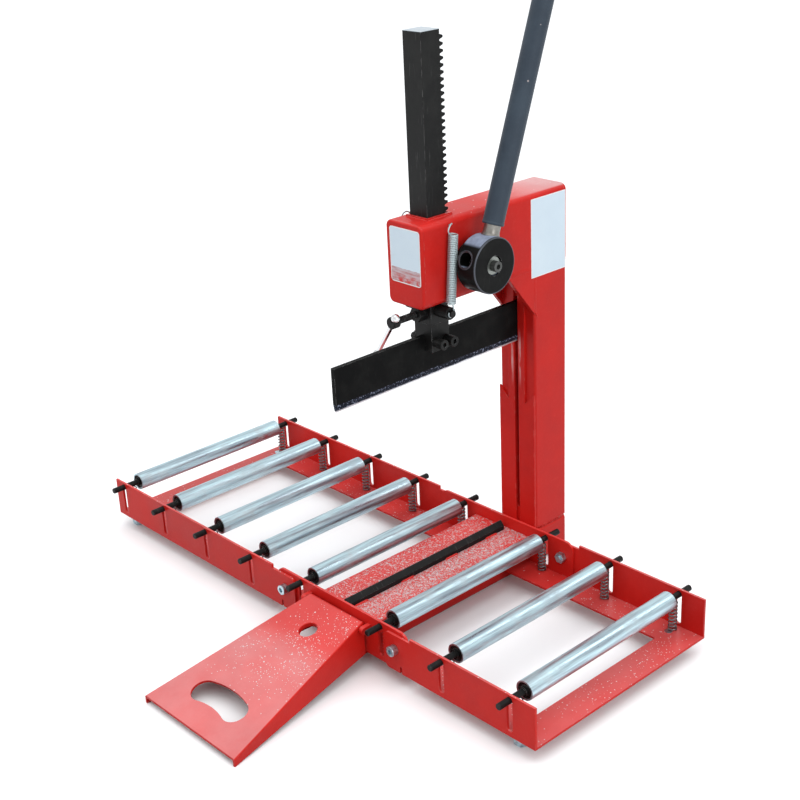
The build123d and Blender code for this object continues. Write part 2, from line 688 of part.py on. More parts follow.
def roller_table(side, rollers, far_end, foot_inset):
    """Folding table on one side (-1 left, +1 right): two walls, floor flanges and an end strip."""
    near = HINGE_X - TAB_REACH
    root = HINGE_X + TAB_ROOT
    tab_top = WALL_TOP - TAB_DROP
    middle = (root + far_end) / 2
    with BuildPart() as table:
        with BuildSketch(facing_front(-WALL_OUTER)) as wall:
            Polygon(
                (side * near, WALL_BOTTOM),
                (side * far_end, WALL_BOTTOM),
                (side * far_end, WALL_TOP),
                (side * root, WALL_TOP),
                (side * root, tab_top),
                (side * near, tab_top),
                align=None,
            )
            inner_end = wall.vertices().filter_by(lambda v: abs(v.X) < near + 0.1)
            fillet(inner_end, 0.4 * TAB_REACH)
            with Locations((side * HINGE_X, HINGE_Z)):
                Circle(HINGE_BOLT / 2 + RUNNING, mode=Mode.SUBTRACT)
            with Locations(*[(side * x, AXLE_Z - SLOT_DROP / 2) for x in rollers]):
                SlotCenterToCenter(
                    SLOT_DROP, AXLE_D + 2 * AXLE_GAP, rotation=90, mode=Mode.SUBTRACT
                )
            with Locations((side * (HINGE_X + TAB_REACH / 2), WALL_BOTTOM)):
                Rectangle(SHEET, 6 * SHEET, mode=Mode.SUBTRACT)
        extrude(amount=-SHEET)
        with BuildSketch(Plane.XY.offset(WALL_BOTTOM)):
            with Locations((side * middle, -WALL_OUTER + FLANGE / 2)):
                Rectangle(far_end - root, FLANGE)
            with Locations((side * (far_end - foot_inset), -FOOT_Y)):
                Circle(FOOT_BOLT / 2 + SEAT, mode=Mode.SUBTRACT)
        extrude(amount=SHEET)
        mirror(about=Plane.XZ)
        with BuildSketch(Plane.XY.offset(WALL_BOTTOM)):
            with Locations((side * (far_end - END_STRIP / 2), 0)):
                Rectangle(END_STRIP, 2 * (WALL_OUTER - FLANGE))
        extrude(amount=SHEET)
    return table.part


keep(roller_table(-1, LEFT_ROLLERS, LEFT_END, LEFT_FOOT_INSET), "left_table")
keep(roller_table(1, RIGHT_ROLLERS, RIGHT_END, RIGHT_FOOT_INSET), "right_table")


def feet(x):
    """Two levelling feet: a hexagon head on the floor, its shank and a nut under the flange."""
    with BuildPart() as foot:
        with BuildSketch():
            RegularPolygon(0.8 * FOOT_BOLT, 6, major_radius=False)
        extrude(amount=FOOT_HEAD)
        chamfer(foot.faces().sort_by(Axis.Z)[0].edges(), 0.1 * FOOT_BOLT)
        with BuildSketch():
            Circle(FOOT_BOLT / 2)
        extrude(amount=FLOOR_TOP)
    nut_thick = 0.55 * FOOT_BOLT
    with BuildPart() as pair:
        with Locations(*mirrored_places([x], FOOT_Y, 0)):
            add(foot.part)
        with Locations(*mirrored_places([x], FOOT_Y, WALL_BOTTOM - nut_thick)):
            add(hex_nut(FOOT_BOLT, nut_thick))
    return pair.part


keep(feet(-(LEFT_END - LEFT_FOOT_INSET)), "left_feet")
keep(feet(RIGHT_END - RIGHT_FOOT_INSET), "right_feet")


def axle(x):
    """Round bar across the machine with a shoulder on each side of its roller."""
    reach = WALL_OUTER + AXLE_PROUD
    with BuildPart() as bar:
        with BuildSketch(facing_front(0)):
            with Locations((x, AXLE_Z)):
                Circle(AXLE_D / 2)
        extrude(amount=reach, both=True)
        chamfer(bar.edges().filter_by(GeomType.CIRCLE), 0.1 * AXLE_D)
        with BuildSketch(facing_front(-ROLLER_LENGTH / 2 - SWING_GAP)):
            with Locations((x, AXLE_Z)):
                Circle(AXLE_COLLAR_D / 2)
        extrude(amount=AXLE_COLLAR_WIDTH)
        with BuildSketch(facing_front(ROLLER_LENGTH / 2 + SWING_GAP)):
            with Locations((x, AXLE_Z)):
                Circle(AXLE_COLLAR_D / 2)
        extrude(amount=-AXLE_COLLAR_WIDTH)
    return bar.part


def roller(x):
    """Roller tube with a bearing plug recessed in each end."""
    bore = ROLLER_D / 2 - ROLLER_WALL
    with BuildPart() as tube:
        with BuildSketch(facing_front(0)):
            with Locations((x, AXLE_Z)):
                Circle(ROLLER_D / 2)
                Circle(bore, mode=Mode.SUBTRACT)
        extrude(amount=ROLLER_LENGTH / 2, both=True)
        with BuildSketch(facing_front(-ROLLER_LENGTH / 2 + BEARING_RECESS)):
            with Locations((x, AXLE_Z)):
                Circle(bore - SEAT)
                Circle(AXLE_D / 2 + RUNNING, mode=Mode.SUBTRACT)
        extrude(amount=-BEARING_WIDTH)
        with BuildSketch(facing_front(ROLLER_LENGTH / 2 - BEARING_RECESS)):
            with Locations((x, AXLE_Z)):
                Circle(bore - SEAT)
                Circle(AXLE_D / 2 + RUNNING, mode=Mode.SUBTRACT)
        extrude(amount=BEARING_WIDTH)
    return tube.part


roller_places = [-x for x in reversed(LEFT_ROLLERS)]
roller_places += [-CENTRE_ROLLER_X, CENTRE_ROLLER_X]
roller_places += RIGHT_ROLLERS
for number, x in enumerate(roller_places, start=1):
    keep(axle(x), f"axle_{number}")
    keep(roller(x), f"roller_{number}")


# Rack: square bar toothed on the rear, one tooth level with the pinion
def rack_outline():
    """Corners of the toothed bar in the Y-Z plane."""
    pitch = math.pi * MODULE
    slope = math.tan(math.radians(PRESSURE_ANGLE))
    dedendum = 1.25 * MODULE
    half = (pitch - BACKLASH) / 4
    tip_half = half - RACK_ADDENDUM * slope
    root_half = half + dedendum * slope
    lowest = math.ceil((HEAD_BOTTOM + root_half + RACK_END_LAND - PINION_Z) / pitch)
    highest = math.floor((RACK_TOP - root_half - RACK_END_LAND - PINION_Z) / pitch)
    corners = [(RACK_FRONT, RACK_TOP), (RACK_FRONT, RACK_BOTTOM), (RACK_ROOT, RACK_BOTTOM)]
    for tooth in range(lowest, highest + 1):
        z = PINION_Z + tooth * pitch
        corners += [(RACK_ROOT, z - root_half), (RACK_REAR, z - tip_half)]
        corners += [(RACK_REAR, z + tip_half), (RACK_ROOT, z + root_half)]
    return corners + [(RACK_ROOT, RACK_TOP)]


with BuildPart() as rack_bar:
    with BuildSketch(facing_right(0)):
        Polygon(*rack_outline(), align=None)
    extrude(amount=RACK_HALF, both=True)
    with BuildSketch(facing_front(RACK_FRONT + CLAMP_DEPTH)):
        with Locations((0, CLAMP_Z)):
            Circle(CLAMP_D / 2 + RUNNING)
    extrude(amount=CLAMP_DEPTH, mode=Mode.SUBTRACT)
keep(rack_bar.part, "rack_bar")


def flank_angle(radius):
    """Half the angle that a pinion tooth fills at a radius, from its involute."""
    base = PITCH_RADIUS * math.cos(math.radians(PRESSURE_ANGLE))
    angle = math.acos(min(1.0, base / radius))
    pitch_angle = math.radians(PRESSURE_ANGLE)
    rolled = math.tan(pitch_angle) - pitch_angle - math.tan(angle) + angle
    return math.pi / (2 * PINION_TEETH) - BACKLASH / (4 * PITCH_RADIUS) + rolled


def polar(radius, angle):
    """Point in the Y-Z plane at a radius and angle about the drive shaft."""
    return (PINION_Y + radius * math.cos(angle), PINION_Z + radius * math.sin(angle))


with BuildPart() as drive_pinion:
    base_r = PITCH_RADIUS * math.cos(math.radians(PRESSURE_ANGLE))
    root_r = PITCH_RADIUS - 1.25 * MODULE
    middle_r = (base_r + PINION_OUTER) / 2
    step = 2 * math.pi / PINION_TEETH
    at_base = flank_angle(base_r)
    at_middle = flank_angle(middle_r)
    at_tip = flank_angle(PINION_OUTER)
    with BuildSketch(facing_right(-PINION_FACE / 2)):
        with BuildLine():
            for tooth in range(PINION_TEETH):
                mid = math.pi + (tooth + 0.5) * step
                ahead = mid + step
                Line(polar(root_r, mid - at_base), polar(base_r, mid - at_base))
                ThreePointArc(
                    polar(base_r, mid - at_base),
                    polar(middle_r, mid - at_middle),
                    polar(PINION_OUTER, mid - at_tip),
                )
                ThreePointArc(
                    polar(PINION_OUTER, mid - at_tip),
                    polar(PINION_OUTER, mid),
                    polar(PINION_OUTER, mid + at_tip),
                )
                ThreePointArc(
                    polar(PINION_OUTER, mid + at_tip),
                    polar(middle_r, mid + at_middle),
                    polar(base_r, mid + at_base),
                )
                Line(polar(base_r, mid + at_base), polar(root_r, mid + at_base))
                ThreePointArc(
                    polar(root_r, mid + at_base),
                    polar(root_r, mid + step / 2),
                    polar(root_r, ahead - at_base),
                )
        make_face()
        with Locations((PINION_Y, PINION_Z)):
            Circle(SHAFT_D / 2 + SEAT, mode=Mode.SUBTRACT)
    extrude(amount=PINION_FACE)
keep(drive_pinion.part, "drive_pinion")

# Drive shaft from the retaining ring on the left to the hub screw on the right
ring_x = -HALF_TUBE - BUSH_FLANGE - STOP_GAP
shaft_left = ring_x - RING_WIDTH - SHAFT_PROUD
shaft_right = HUB_SEAT - STOP_GAP
thread_depth = 3 * HUB_SCREW
with BuildPart() as drive_shaft:
    with BuildSketch(facing_right(shaft_left)):
        with Locations((PINION_Y, PINION_Z)):
            Circle(SHAFT_D / 2)
    extrude(amount=shaft_right - shaft_left)
    chamfer(drive_shaft.faces().sort_by(Axis.X)[0].edges(), 0.05 * SHAFT_D)
    with BuildSketch(facing_right(shaft_right)):
        with Locations((PINION_Y, PINION_Z)):
            Circle(HUB_SCREW / 2 + SEAT)
    extrude(amount=-thread_depth, mode=Mode.SUBTRACT)
keep(drive_shaft.part, "drive_shaft")

with BuildPart() as retaining_ring:
    with BuildSketch(facing_right(ring_x - RING_WIDTH)):
        with Locations((PINION_Y, PINION_Z)):
            Circle(RING_D / 2)
            Circle(SHAFT_D / 2 + SEAT, mode=Mode.SUBTRACT)
    extrude(amount=RING_WIDTH)
keep(retaining_ring.part, "retaining_ring")

# Hub with four sockets; the lever stands in the upper one
hub_centre = Vector(HUB_X + LEVER_INSET, PINION_Y, PINION_Z)


def lever_direction(turn):
    """Outward direction of the socket that is turned on from the lever's."""
    angle = math.radians(LEVER_LEAN + turn)
    return Vector(0, math.sin(angle), math.cos(angle))


def along_lever(turn, distance):
    """Sketch plane square to a socket, at a distance from the shaft."""
    outward = lever_direction(turn)
    return Plane(hub_centre + outward * distance, x_dir=(1, 0, 0), z_dir=outward)


with BuildPart() as lever_hub:
    with BuildSketch(facing_right(HUB_X)):
        with Locations((PINION_Y, PINION_Z)):
            Circle(HUB_D / 2)
    extrude(amount=HUB_WIDTH)
    fillet(lever_hub.edges().filter_by(GeomType.CIRCLE), 0.03 * HUB_D)
    with BuildSketch(facing_right(HUB_X)):
        with Locations((PINION_Y, PINION_Z)):
            Circle(SHAFT_D / 2 + SEAT)
    extrude(amount=HUB_WIDTH, mode=Mode.SUBTRACT)
    with BuildSketch(facing_right(HUB_SEAT)):
        with Locations((PINION_Y, PINION_Z)):
            Circle(0.55 * WASHER_D)
    extrude(amount=HUB_RECESS, mode=Mode.SUBTRACT)
    with BuildSketch(*[along_lever(turn, SOCKET_FLOOR) for turn in (0, 90, 180, 270)]):
        Circle(LEVER_D / 2 + SEAT)
    extrude(amount=HUB_D, mode=Mode.SUBTRACT)
    with BuildSketch(*[along_lever(turn, HUB_D / 2 - SPOT_FACE) for turn in (0, 90, 180, 270)]):
        Circle(0.65 * LEVER_D)
    extrude(amount=HUB_D, mode=Mode.SUBTRACT)
keep(lever_hub.part, "lever_hub")

with BuildPart() as hub_washer:
    with BuildSketch(facing_right(HUB_SEAT)):
        with Locations((PINION_Y, PINION_Z)):
            Circle(0.5 * WASHER_D)
            Circle(HUB_SCREW / 2 + SEAT, mode=Mode.SUBTRACT)
    extrude(amount=WASHER_THICK)
keep(hub_washer.part, "hub_washer")

with BuildPart() as hub_screw:
    with Locations(Location((HUB_SEAT + WASHER_THICK, PINION_Y, PINION_Z), (0, 90, 0))):
        add(cap_screw(HUB_SCREW, WASHER_THICK + thread_depth - THREAD_PROUD))
keep(hub_screw.part, "hub_screw")

with BuildPart() as lever_rod:
    with BuildSketch(along_lever(0, SOCKET_FLOOR + STOP_GAP)):
        Circle(LEVER_D / 2)
    extrude(amount=LEVER_LENGTH - SOCKET_FLOOR - STOP_GAP)
keep(lever_rod.part, "lever_rod")

with BuildPart() as foam_grip:
    with BuildSketch(along_lever(0, GRIP_START)):
        Circle(GRIP_D / 2)
    extrude(amount=LEVER_LENGTH + GRIP_END_CAP - GRIP_START)
    fillet(foam_grip.edges().filter_by(GeomType.CIRCLE), 0.12 * GRIP_D)
    with BuildSketch(along_lever(0, GRIP_START)):
        Circle(LEVER_D / 2 + SEAT)
    extrude(amount=LEVER_LENGTH - GRIP_START, mode=Mode.SUBTRACT)
keep(foam_grip.part, "foam_grip")

# Boss on the rack's front for the clamp screw, and a post on each side for a return spring
with BuildPart() as clamp_boss:
    with BuildSketch(facing_front(RACK_FRONT - WELD)):
        with Locations((0, CLAMP_Z)):
            RegularPolygon(CLAMP_BOSS_AF / 2, 6, major_radius=False)
            Circle(CLAMP_D / 2 + RUNNING, mode=Mode.SUBTRACT)
    extrude(amount=CLAMP_BOSS - WELD)
keep(clamp_boss.part, "clamp_boss")

with BuildPart() as spring_posts:
    post_neck_x = RETURN_X - RETURN_WIRE / 2 - POST_NECK_ROOM
    post_head_x = RETURN_X + RETURN_WIRE / 2 + 2 * SWING_GAP
    with BuildSketch(facing_right(RACK_HALF + WELD)):
        with Locations((POST_Y, POST_Z)):
            Circle(POST_ROOT_D / 2)
    extrude(amount=post_neck_x - RACK_HALF - WELD)
    with BuildSketch(facing_right(post_neck_x)):
        with Locations((POST_Y, POST_Z)):
            Circle(POST_D / 2)
    extrude(amount=post_head_x - post_neck_x)
    with BuildSketch(facing_right(post_head_x)):
        with Locations((POST_Y, POST_Z)):
            Circle(POST_HEAD_D / 2)
    extrude(amount=POST_HEAD)
    fillet(spring_posts.faces().sort_by(Axis.X)[-1].edges(), 0.2 * POST_HEAD)
    mirror(about=Plane.YZ)
keep(spring_posts.part, "spring_posts")

# Clamp screw: its tip runs in the rack and its head is drilled across for the tommy bar, with
# a seat for the bar's ball
tommy_down = Vector(
    -math.sin(math.radians(TOMMY_LEAN)), 0, -math.cos(math.radians(TOMMY_LEAN))
)
clamp_eye = Vector(0, CLAMP_Y, CLAMP_Z)
tommy_hole_r = TOMMY_D / 2 + RUNNING
with BuildPart() as clamp_screw:
    with BuildSketch(facing_front(RACK_FRONT + CLAMP_DEPTH - SWING_GAP)):
        with Locations((0, CLAMP_Z)):
            Circle(CLAMP_D / 2)
    extrude(amount=RACK_FRONT + CLAMP_DEPTH - SWING_GAP - CLAMP_Y)
    with BuildSketch(facing_front(CLAMP_Y + CLAMP_HEAD_LENGTH / 2)):
        with Locations((0, CLAMP_Z)):
            Circle(CLAMP_HEAD_D / 2)
    extrude(amount=CLAMP_HEAD_LENGTH)
    fillet(clamp_screw.faces().sort_by(Axis.Y)[0].edges(), 0.12 * CLAMP_HEAD_D)
    with BuildSketch(Plane(clamp_eye, x_dir=(0, 1, 0), z_dir=tommy_down)):
        Circle(tommy_hole_r)
    extrude(amount=CLAMP_HEAD_D, both=True, mode=Mode.SUBTRACT)
    seat_floor = CLAMP_HEAD_D / 2 - TOMMY_SEAT
    with BuildSketch(Plane(clamp_eye - tommy_down * seat_floor, z_dir=-tommy_down)):
        Circle(TOMMY_BALL_D / 2 + RUNNING)
    extrude(amount=CLAMP_HEAD_D, mode=Mode.SUBTRACT)
keep(clamp_screw.part, "clamp_screw")

with BuildPart() as tommy_bar:
    ball_r = TOMMY_BALL_D / 2
    perch = seat_floor + math.sqrt(ball_r**2 - tommy_hole_r**2) + 0.5 * SWING_GAP
    with BuildSketch(Plane(clamp_eye - tommy_down * perch, x_dir=(0, 1, 0), z_dir=tommy_down)):
        Circle(TOMMY_D / 2)
    extrude(amount=perch + TOMMY_DROP)
    with Locations(clamp_eye - tommy_down * perch, clamp_eye + tommy_down * TOMMY_DROP):
        Sphere(ball_r)
keep(tommy_bar.part, "tommy_bar")

# Fork under the rack, straddling the upper blade
bolt_ys = [BAR_Y - BLADE_BOLT_PITCH / 2, BAR_Y + BLADE_BOLT_PITCH / 2]
with BuildPart() as blade_fork:
    with BuildSketch(Plane.XY.offset(FORK_BOTTOM)):
        with Locations((0, BAR_Y)):
            Rectangle(RACK_THICK, BAR_DEPTH)
    extrude(amount=RACK_BOTTOM - WELD - FORK_BOTTOM)
    with BuildSketch(Plane.XY.offset(FORK_BOTTOM)):
        with Locations((0, BAR_Y)):
            Rectangle(BLADE_THICK + 2 * WELD, BAR_DEPTH)
    extrude(amount=FORK_OVERLAP + WELD, mode=Mode.SUBTRACT)
    with BuildSketch(facing_right(-RACK_HALF)):
        with Locations(*[(y, BLADE_BOLT_Z) for y in bolt_ys]):
            Circle(BLADE_BOLT / 2 + SEAT)
    extrude(amount=RACK_THICK, mode=Mode.SUBTRACT)
keep(blade_fork.part, "blade_fork")

with BuildPart() as upper_blade:
    half = BLADE_THICK / 2
    bottom = BLADE_TOP - BLADE_HEIGHT
    with BuildSketch(facing_front(BLADE_FRONT)):
        Polygon(
            (-half, BLADE_TOP),
            (-half, bottom + BLADE_BEVEL),
            (-BLADE_EDGE / 2, bottom),
            (BLADE_EDGE / 2, bottom),
            (half, bottom + BLADE_BEVEL),
            (half, BLADE_TOP),
            align=None,
        )
    extrude(amount=-(COLUMN_FRONT + BLADE_TONGUE - BLADE_FRONT))
    with BuildSketch(facing_right(-half)):
        with Locations(*[(y, BLADE_BOLT_Z) for y in bolt_ys]):
            Circle(BLADE_BOLT / 2 + SEAT)
    extrude(amount=BLADE_THICK, mode=Mode.SUBTRACT)
keep(upper_blade.part, "upper_blade")

blade_nut_height = 0.8 * BLADE_BOLT
blade_grip = RACK_THICK + BLADE_SPACER
with BuildPart() as blade_bolts:
    with Locations(
        *[Location((RACK_HALF + BLADE_SPACER, y, BLADE_BOLT_Z), (0, 90, 0)) for y in bolt_ys]
    ):
        add(cap_screw(BLADE_BOLT, blade_grip + blade_nut_height + 2 * THREAD_PROUD))
    with BuildSketch(facing_right(RACK_HALF)):
        with Locations(*[(y, BLADE_BOLT_Z) for y in bolt_ys]):
            Circle(0.75 * BLADE_BOLT)
            Circle(BLADE_BOLT / 2 + SEAT, mode=Mode.SUBTRACT)
    extrude(amount=BLADE_SPACER - WELD)
keep(blade_bolts.part, "blade_bolts")

with BuildPart() as blade_nuts:
    with Locations(*[Location((-RACK_HALF, y, BLADE_BOLT_Z), (0, -90, 0)) for y in bolt_ys]):
        add(hex_nut(BLADE_BOLT, blade_nut_height))
keep(blade_nuts.part, "blade_nuts")


# Step plate: sloping top sheet with side flanges, a lip bent down along its rear edge and an open front
def step_height(y):
    """Top of the sloping sheet at depth y."""
    return STEP_TOP - (STEP_REAR - y) * math.tan(STEP_SLOPE)


def step_half(y):
    """Half-width of the plate at depth y."""
    return STEP_REAR_HALF + (STEP_REAR - y) * math.tan(STEP_FLARE)


def step_wedge(rear, front, lower, narrower, rear_bottom, front_bottom):
    """Tapering wedge under the plate's top, lowered and narrowed by the given amounts."""
    with BuildPart() as wedge:
        with BuildSketch(facing_right(-2 * STEP_FRONT_HALF)):
            Polygon(
                (rear, step_height(rear) - lower),
                (front, step_height(front) - lower),
                (front, front_bottom),
                (rear, rear_bottom),
                align=None,
            )
        extrude(amount=4 * STEP_FRONT_HALF)
        with BuildSketch(Plane.XY.offset(-WALL_TOP)):
            Polygon(
                (step_half(rear) - narrower, rear),
                (-step_half(rear) + narrower, rear),
                (-step_half(front) + narrower, front),
                (step_half(front) - narrower, front),
                align=None,
            )
        extrude(amount=3 * WALL_TOP, mode=Mode.INTERSECT)
    return wedge.part


def on_step(y):
    """Sketch plane on the sloping sheet at depth y, its +Y pointing up the slope."""
    normal = (0, -math.sin(STEP_SLOPE), math.cos(STEP_SLOPE))
    return Plane((0, y, step_height(y)), x_dir=(1, 0, 0), z_dir=normal)


step_body = step_wedge(STEP_REAR, STEP_FRONT, 0, 0, WALL_BOTTOM, 0)
step_void = step_wedge(
    STEP_REAR - SHEET,
    STEP_FRONT - SHEET,
    SHEET / math.cos(STEP_SLOPE),
    SHEET / math.cos(STEP_FLARE),
    -WALL_TOP,
    -WALL_TOP,
)
with BuildPart() as step_plate:
    add(step_body)
    fillet(step_plate.edges().filter_by(Axis.X).sort_by(Axis.Z)[-1], STEP_BEND)
    sheet_top = step_plate.faces().filter_by(lambda face: face.normal_at().Z > 0.9)[0]
    fillet(sheet_top.edges().sort_by(Axis.Y)[1:3], STEP_EDGE)
    add(step_void, mode=Mode.SUBTRACT)
    with BuildSketch(Plane.XY.offset(STEP_TOP - STEP_REAR_LIP)):
        with Locations((0, STEP_REAR)):
            Rectangle(2 * (STEP_REAR_HALF - SHEET / math.cos(STEP_FLARE)), 4 * SHEET)
    extrude(amount=-STEP_TOP, mode=Mode.SUBTRACT)
    with BuildSketch(facing_right(-STEP_FRONT_HALF)):
        with Locations((STEP_PIVOT_Y, STEP_PIVOT_Z)):
            Circle(STEP_PIN_D / 2 + RUNNING)
    extrude(amount=2 * STEP_FRONT_HALF, mode=Mode.SUBTRACT)
    hand_y = STEP_FRONT + HAND_HOLE_INSET
    with BuildSketch(on_step(hand_y)):
        bow = Edge.make_three_point_arc(
            (-HAND_HOLE_CHORD / 2, -HAND_HOLE_RISE / 2),
            (0, HAND_HOLE_RISE / 2),
            (HAND_HOLE_CHORD / 2, -HAND_HOLE_RISE / 2),
        )
        SlotArc(bow, HAND_HOLE_WIDTH)
    extrude(amount=3 * SHEET, both=True, mode=Mode.SUBTRACT)
    with BuildSketch(on_step(STEP_REAR - LOOK_HOLE_INSET)):
        Circle(LOOK_HOLE_D / 2 + LOOK_HOLE_COLLAR)
    extrude(amount=-LOOK_HOLE_DEPTH)
    with BuildSketch(on_step(STEP_REAR - LOOK_HOLE_INSET)):
        Circle(LOOK_HOLE_D / 2)
    extrude(amount=3 * SHEET, both=True, mode=Mode.SUBTRACT)
    hole_edges = step_plate.edges().filter_by(GeomType.CIRCLE)
    hole_edges = hole_edges.filter_by(lambda edge: abs(edge.radius - LOOK_HOLE_D / 2) < SEAT)
    fillet(hole_edges.sort_by(Axis.Z)[-1], LOOK_HOLE_ROLL)
keep(step_plate.part, "step_plate")

lug_inner = step_half(STEP_PIVOT_Y - STEP_KNUCKLE_R) + STEP_LUG_ROOM
with BuildPart() as step_lugs:
    wall_reach = -TRAY_OUTER - STEP_PIVOT_Y
    with BuildSketch(facing_right(lug_inner)):
        with Locations((STEP_PIVOT_Y, STEP_PIVOT_Z)):
            Circle(STEP_KNUCKLE_R)
            Rectangle(wall_reach, 2 * STEP_KNUCKLE_R, align=(Align.MIN, Align.CENTER))
            Circle(STEP_PIN_D / 2 + SEAT, mode=Mode.SUBTRACT)
    extrude(amount=STEP_LUG_WIDTH)
    mirror(about=Plane.YZ)
keep(step_lugs.part, "step_lugs")

with BuildPart() as step_hinge_pin:
    pin_half = lug_inner + STEP_LUG_WIDTH
    with BuildSketch(facing_right(-pin_half)):
        with Locations((STEP_PIVOT_Y, STEP_PIVOT_Z)):
            Circle(STEP_PIN_D / 2)
    extrude(amount=2 * pin_half)
keep(step_hinge_pin.part, "step_hinge_pin")
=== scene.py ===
import json
import math
import random

import bmesh
import bpy
from mathutils import Matrix, Vector


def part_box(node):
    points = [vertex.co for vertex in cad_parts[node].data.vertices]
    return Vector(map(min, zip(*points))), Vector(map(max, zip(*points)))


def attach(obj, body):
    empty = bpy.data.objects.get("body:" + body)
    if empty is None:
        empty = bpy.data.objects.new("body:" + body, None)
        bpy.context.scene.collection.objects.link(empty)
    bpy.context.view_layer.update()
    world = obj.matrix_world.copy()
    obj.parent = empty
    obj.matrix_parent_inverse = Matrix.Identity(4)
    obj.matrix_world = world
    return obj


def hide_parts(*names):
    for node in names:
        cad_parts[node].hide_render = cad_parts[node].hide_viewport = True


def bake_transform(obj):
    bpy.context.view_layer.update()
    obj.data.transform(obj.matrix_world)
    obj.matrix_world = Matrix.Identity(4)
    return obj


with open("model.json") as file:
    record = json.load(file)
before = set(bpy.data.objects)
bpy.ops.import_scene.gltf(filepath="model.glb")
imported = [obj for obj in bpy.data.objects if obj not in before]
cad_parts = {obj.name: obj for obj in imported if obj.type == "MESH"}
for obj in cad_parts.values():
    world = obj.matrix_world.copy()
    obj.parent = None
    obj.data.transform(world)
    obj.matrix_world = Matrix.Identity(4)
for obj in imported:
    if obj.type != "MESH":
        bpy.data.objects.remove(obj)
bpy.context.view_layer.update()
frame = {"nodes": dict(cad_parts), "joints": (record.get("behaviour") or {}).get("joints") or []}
random.seed(4123)

joints = {joint["name"]: joint for joint in frame["joints"]}
X, Y, Z = range(3)


def span(node, axis):
    """Lowest and highest place of a node along an axis, in millimetres to the hundredth."""
    low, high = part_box(node)
    return round(1000 * low[axis], 2), round(1000 * high[axis], 2)


def middle(node, axis):
    """Place of a node's centre along an axis, in millimetres."""
    low, high = span(node, axis)
    return (low + high) / 2


def half(node, axis):
    """Half of a node's size along an axis, in millimetres."""
    low, high = span(node, axis)
    return (high - low) / 2


def pivot(joint):
    """Place of a hinge, in millimetres."""
    return Vector([1000 * place for place in joints[joint]["pos_m"]])


def metres(place):
    """Place in metres from one in millimetres."""
    return tuple(value / 1000 for value in place)


def mirrored(point, side):
    """Point on the given side, -1 or 1, from one on the right."""
    return Vector((side * point.x, point.y, point.z))


# Places read from the frame, in millimetres
HALF_TUBE = half("column", X)
COLUMN_FRONT, COLUMN_REAR = span("column", Y)
ARM_TOP = span("lower_arm", Z)[1]
BED_TOP = span("bed_plate", Z)[1]
HEAD_FRONT = span("head_front_cap", Y)[0]
HEAD_BOTTOM, HEAD_TOP = span("head_beam", Z)
SLEEVE_HALF = half("rack_sleeve", X)
SLEEVE_FRONT, SLEEVE_REAR = span("rack_sleeve", Y)
RACK_TOP = span("rack_bar", Z)[1]
UPPER_BLADE_EDGE = span("upper_blade", Z)[0]
LOWER_BLADE_HALF = half("lower_blade", X)
POST_Y = middle("spring_posts", Y)
POST_Z = middle("spring_posts", Z)
CLAMP_FRONT = span("clamp_screw", Y)[0]
CLAMP_BOSS_FRONT = span("clamp_boss", Y)[0]
CLAMP_Z = middle("clamp_boss", Z)
HUB_CENTRE = pivot("lever_turn")
HUB_FACE = span("lever_hub", X)[1]
HUB_RADIUS = half("lever_hub", Y)
ROLLERS = range(1, 1 + len([name for name in joints if name.endswith("_spin")]))
ROLLER_HALF = half("roller_1", Y)
SPRING_FOOT, SPRING_TOP = span("centre_springs", Z)

# Other places and sizes of the solids, in millimetres
LEVER_LEAN = math.radians(20.1)
GRIP_FOOT = 46.0
SPOT_FACE = 1.2
RIM_INSET = 1.5
BEVEL_HEIGHT = 10.0
CLAMP_HEAD_LENGTH = 10.0
CLAMP_HEAD_GAP = 1.0
CLAMP_BOSS_GAP = 0.6
CLAMP_THREAD_R = 4.0
CLAMP_PITCH = 1.25
FOOT_Y = 131.0
FOOT_THREAD_LOW = 9.4
FOOT_THREAD_LENGTH = 4.8
FOOT_THREAD_R = 5.0
FOOT_PITCH = 1.5
SPRING_Y = 137.0
RETURN_X = 36.8
BEARING_RECESS = 2.0

# Wire of the springs
RETURN_WIRE_R = 0.9
RETURN_COIL_R = 5.1
RETURN_TURNS = 39
RETURN_TOP = Vector((RETURN_X, 29.4, 499.0))
RETURN_FOOT = Vector((RETURN_X, POST_Y, 415.8))
ROLLER_WIRE = 1.7
ROLLER_COIL_R = 4.95
ROLLER_TURNS = 9
CLOSED_SHARE = 0.11

# Blank labels as lower left and upper right corners
FRONT_LABEL = ((-23.7, 442.0), (26.8, 509.0))
FRONT_LABEL_R = 4.0
FRONT_SMEAR_TOP = 460.0
SIDE_LABEL = ((169.6, 407.0), (233.2, 508.0))
SIDE_LABEL_R = 1.0

# Marks and rubble; a pair is where they begin and where they are full
RUNNER_X = 6.6
RUNNER_SIDE = (2.1, 1.2)
RUNNER_FOOT = (250.0, 290.0)
RUNNER_HEAD = (340.0, 310.0)
RUBBLE_LEFT = (0.0, 6.0)
RUBBLE_RIGHT = (46.0, 26.0)

# Floor and camera of the photo, in millimetres and degrees
FLOOR_HALF = 30000.0
CAMERA_PLACE = (1156.4, -1067.2, 960.5)
CAMERA_AZIMUTH = 48.18
CAMERA_ELEVATION = 23.06
CAMERA_ROLL = -2.78
CAMERA_LENS = 63.195
SENSOR_WIDTH = 36.0

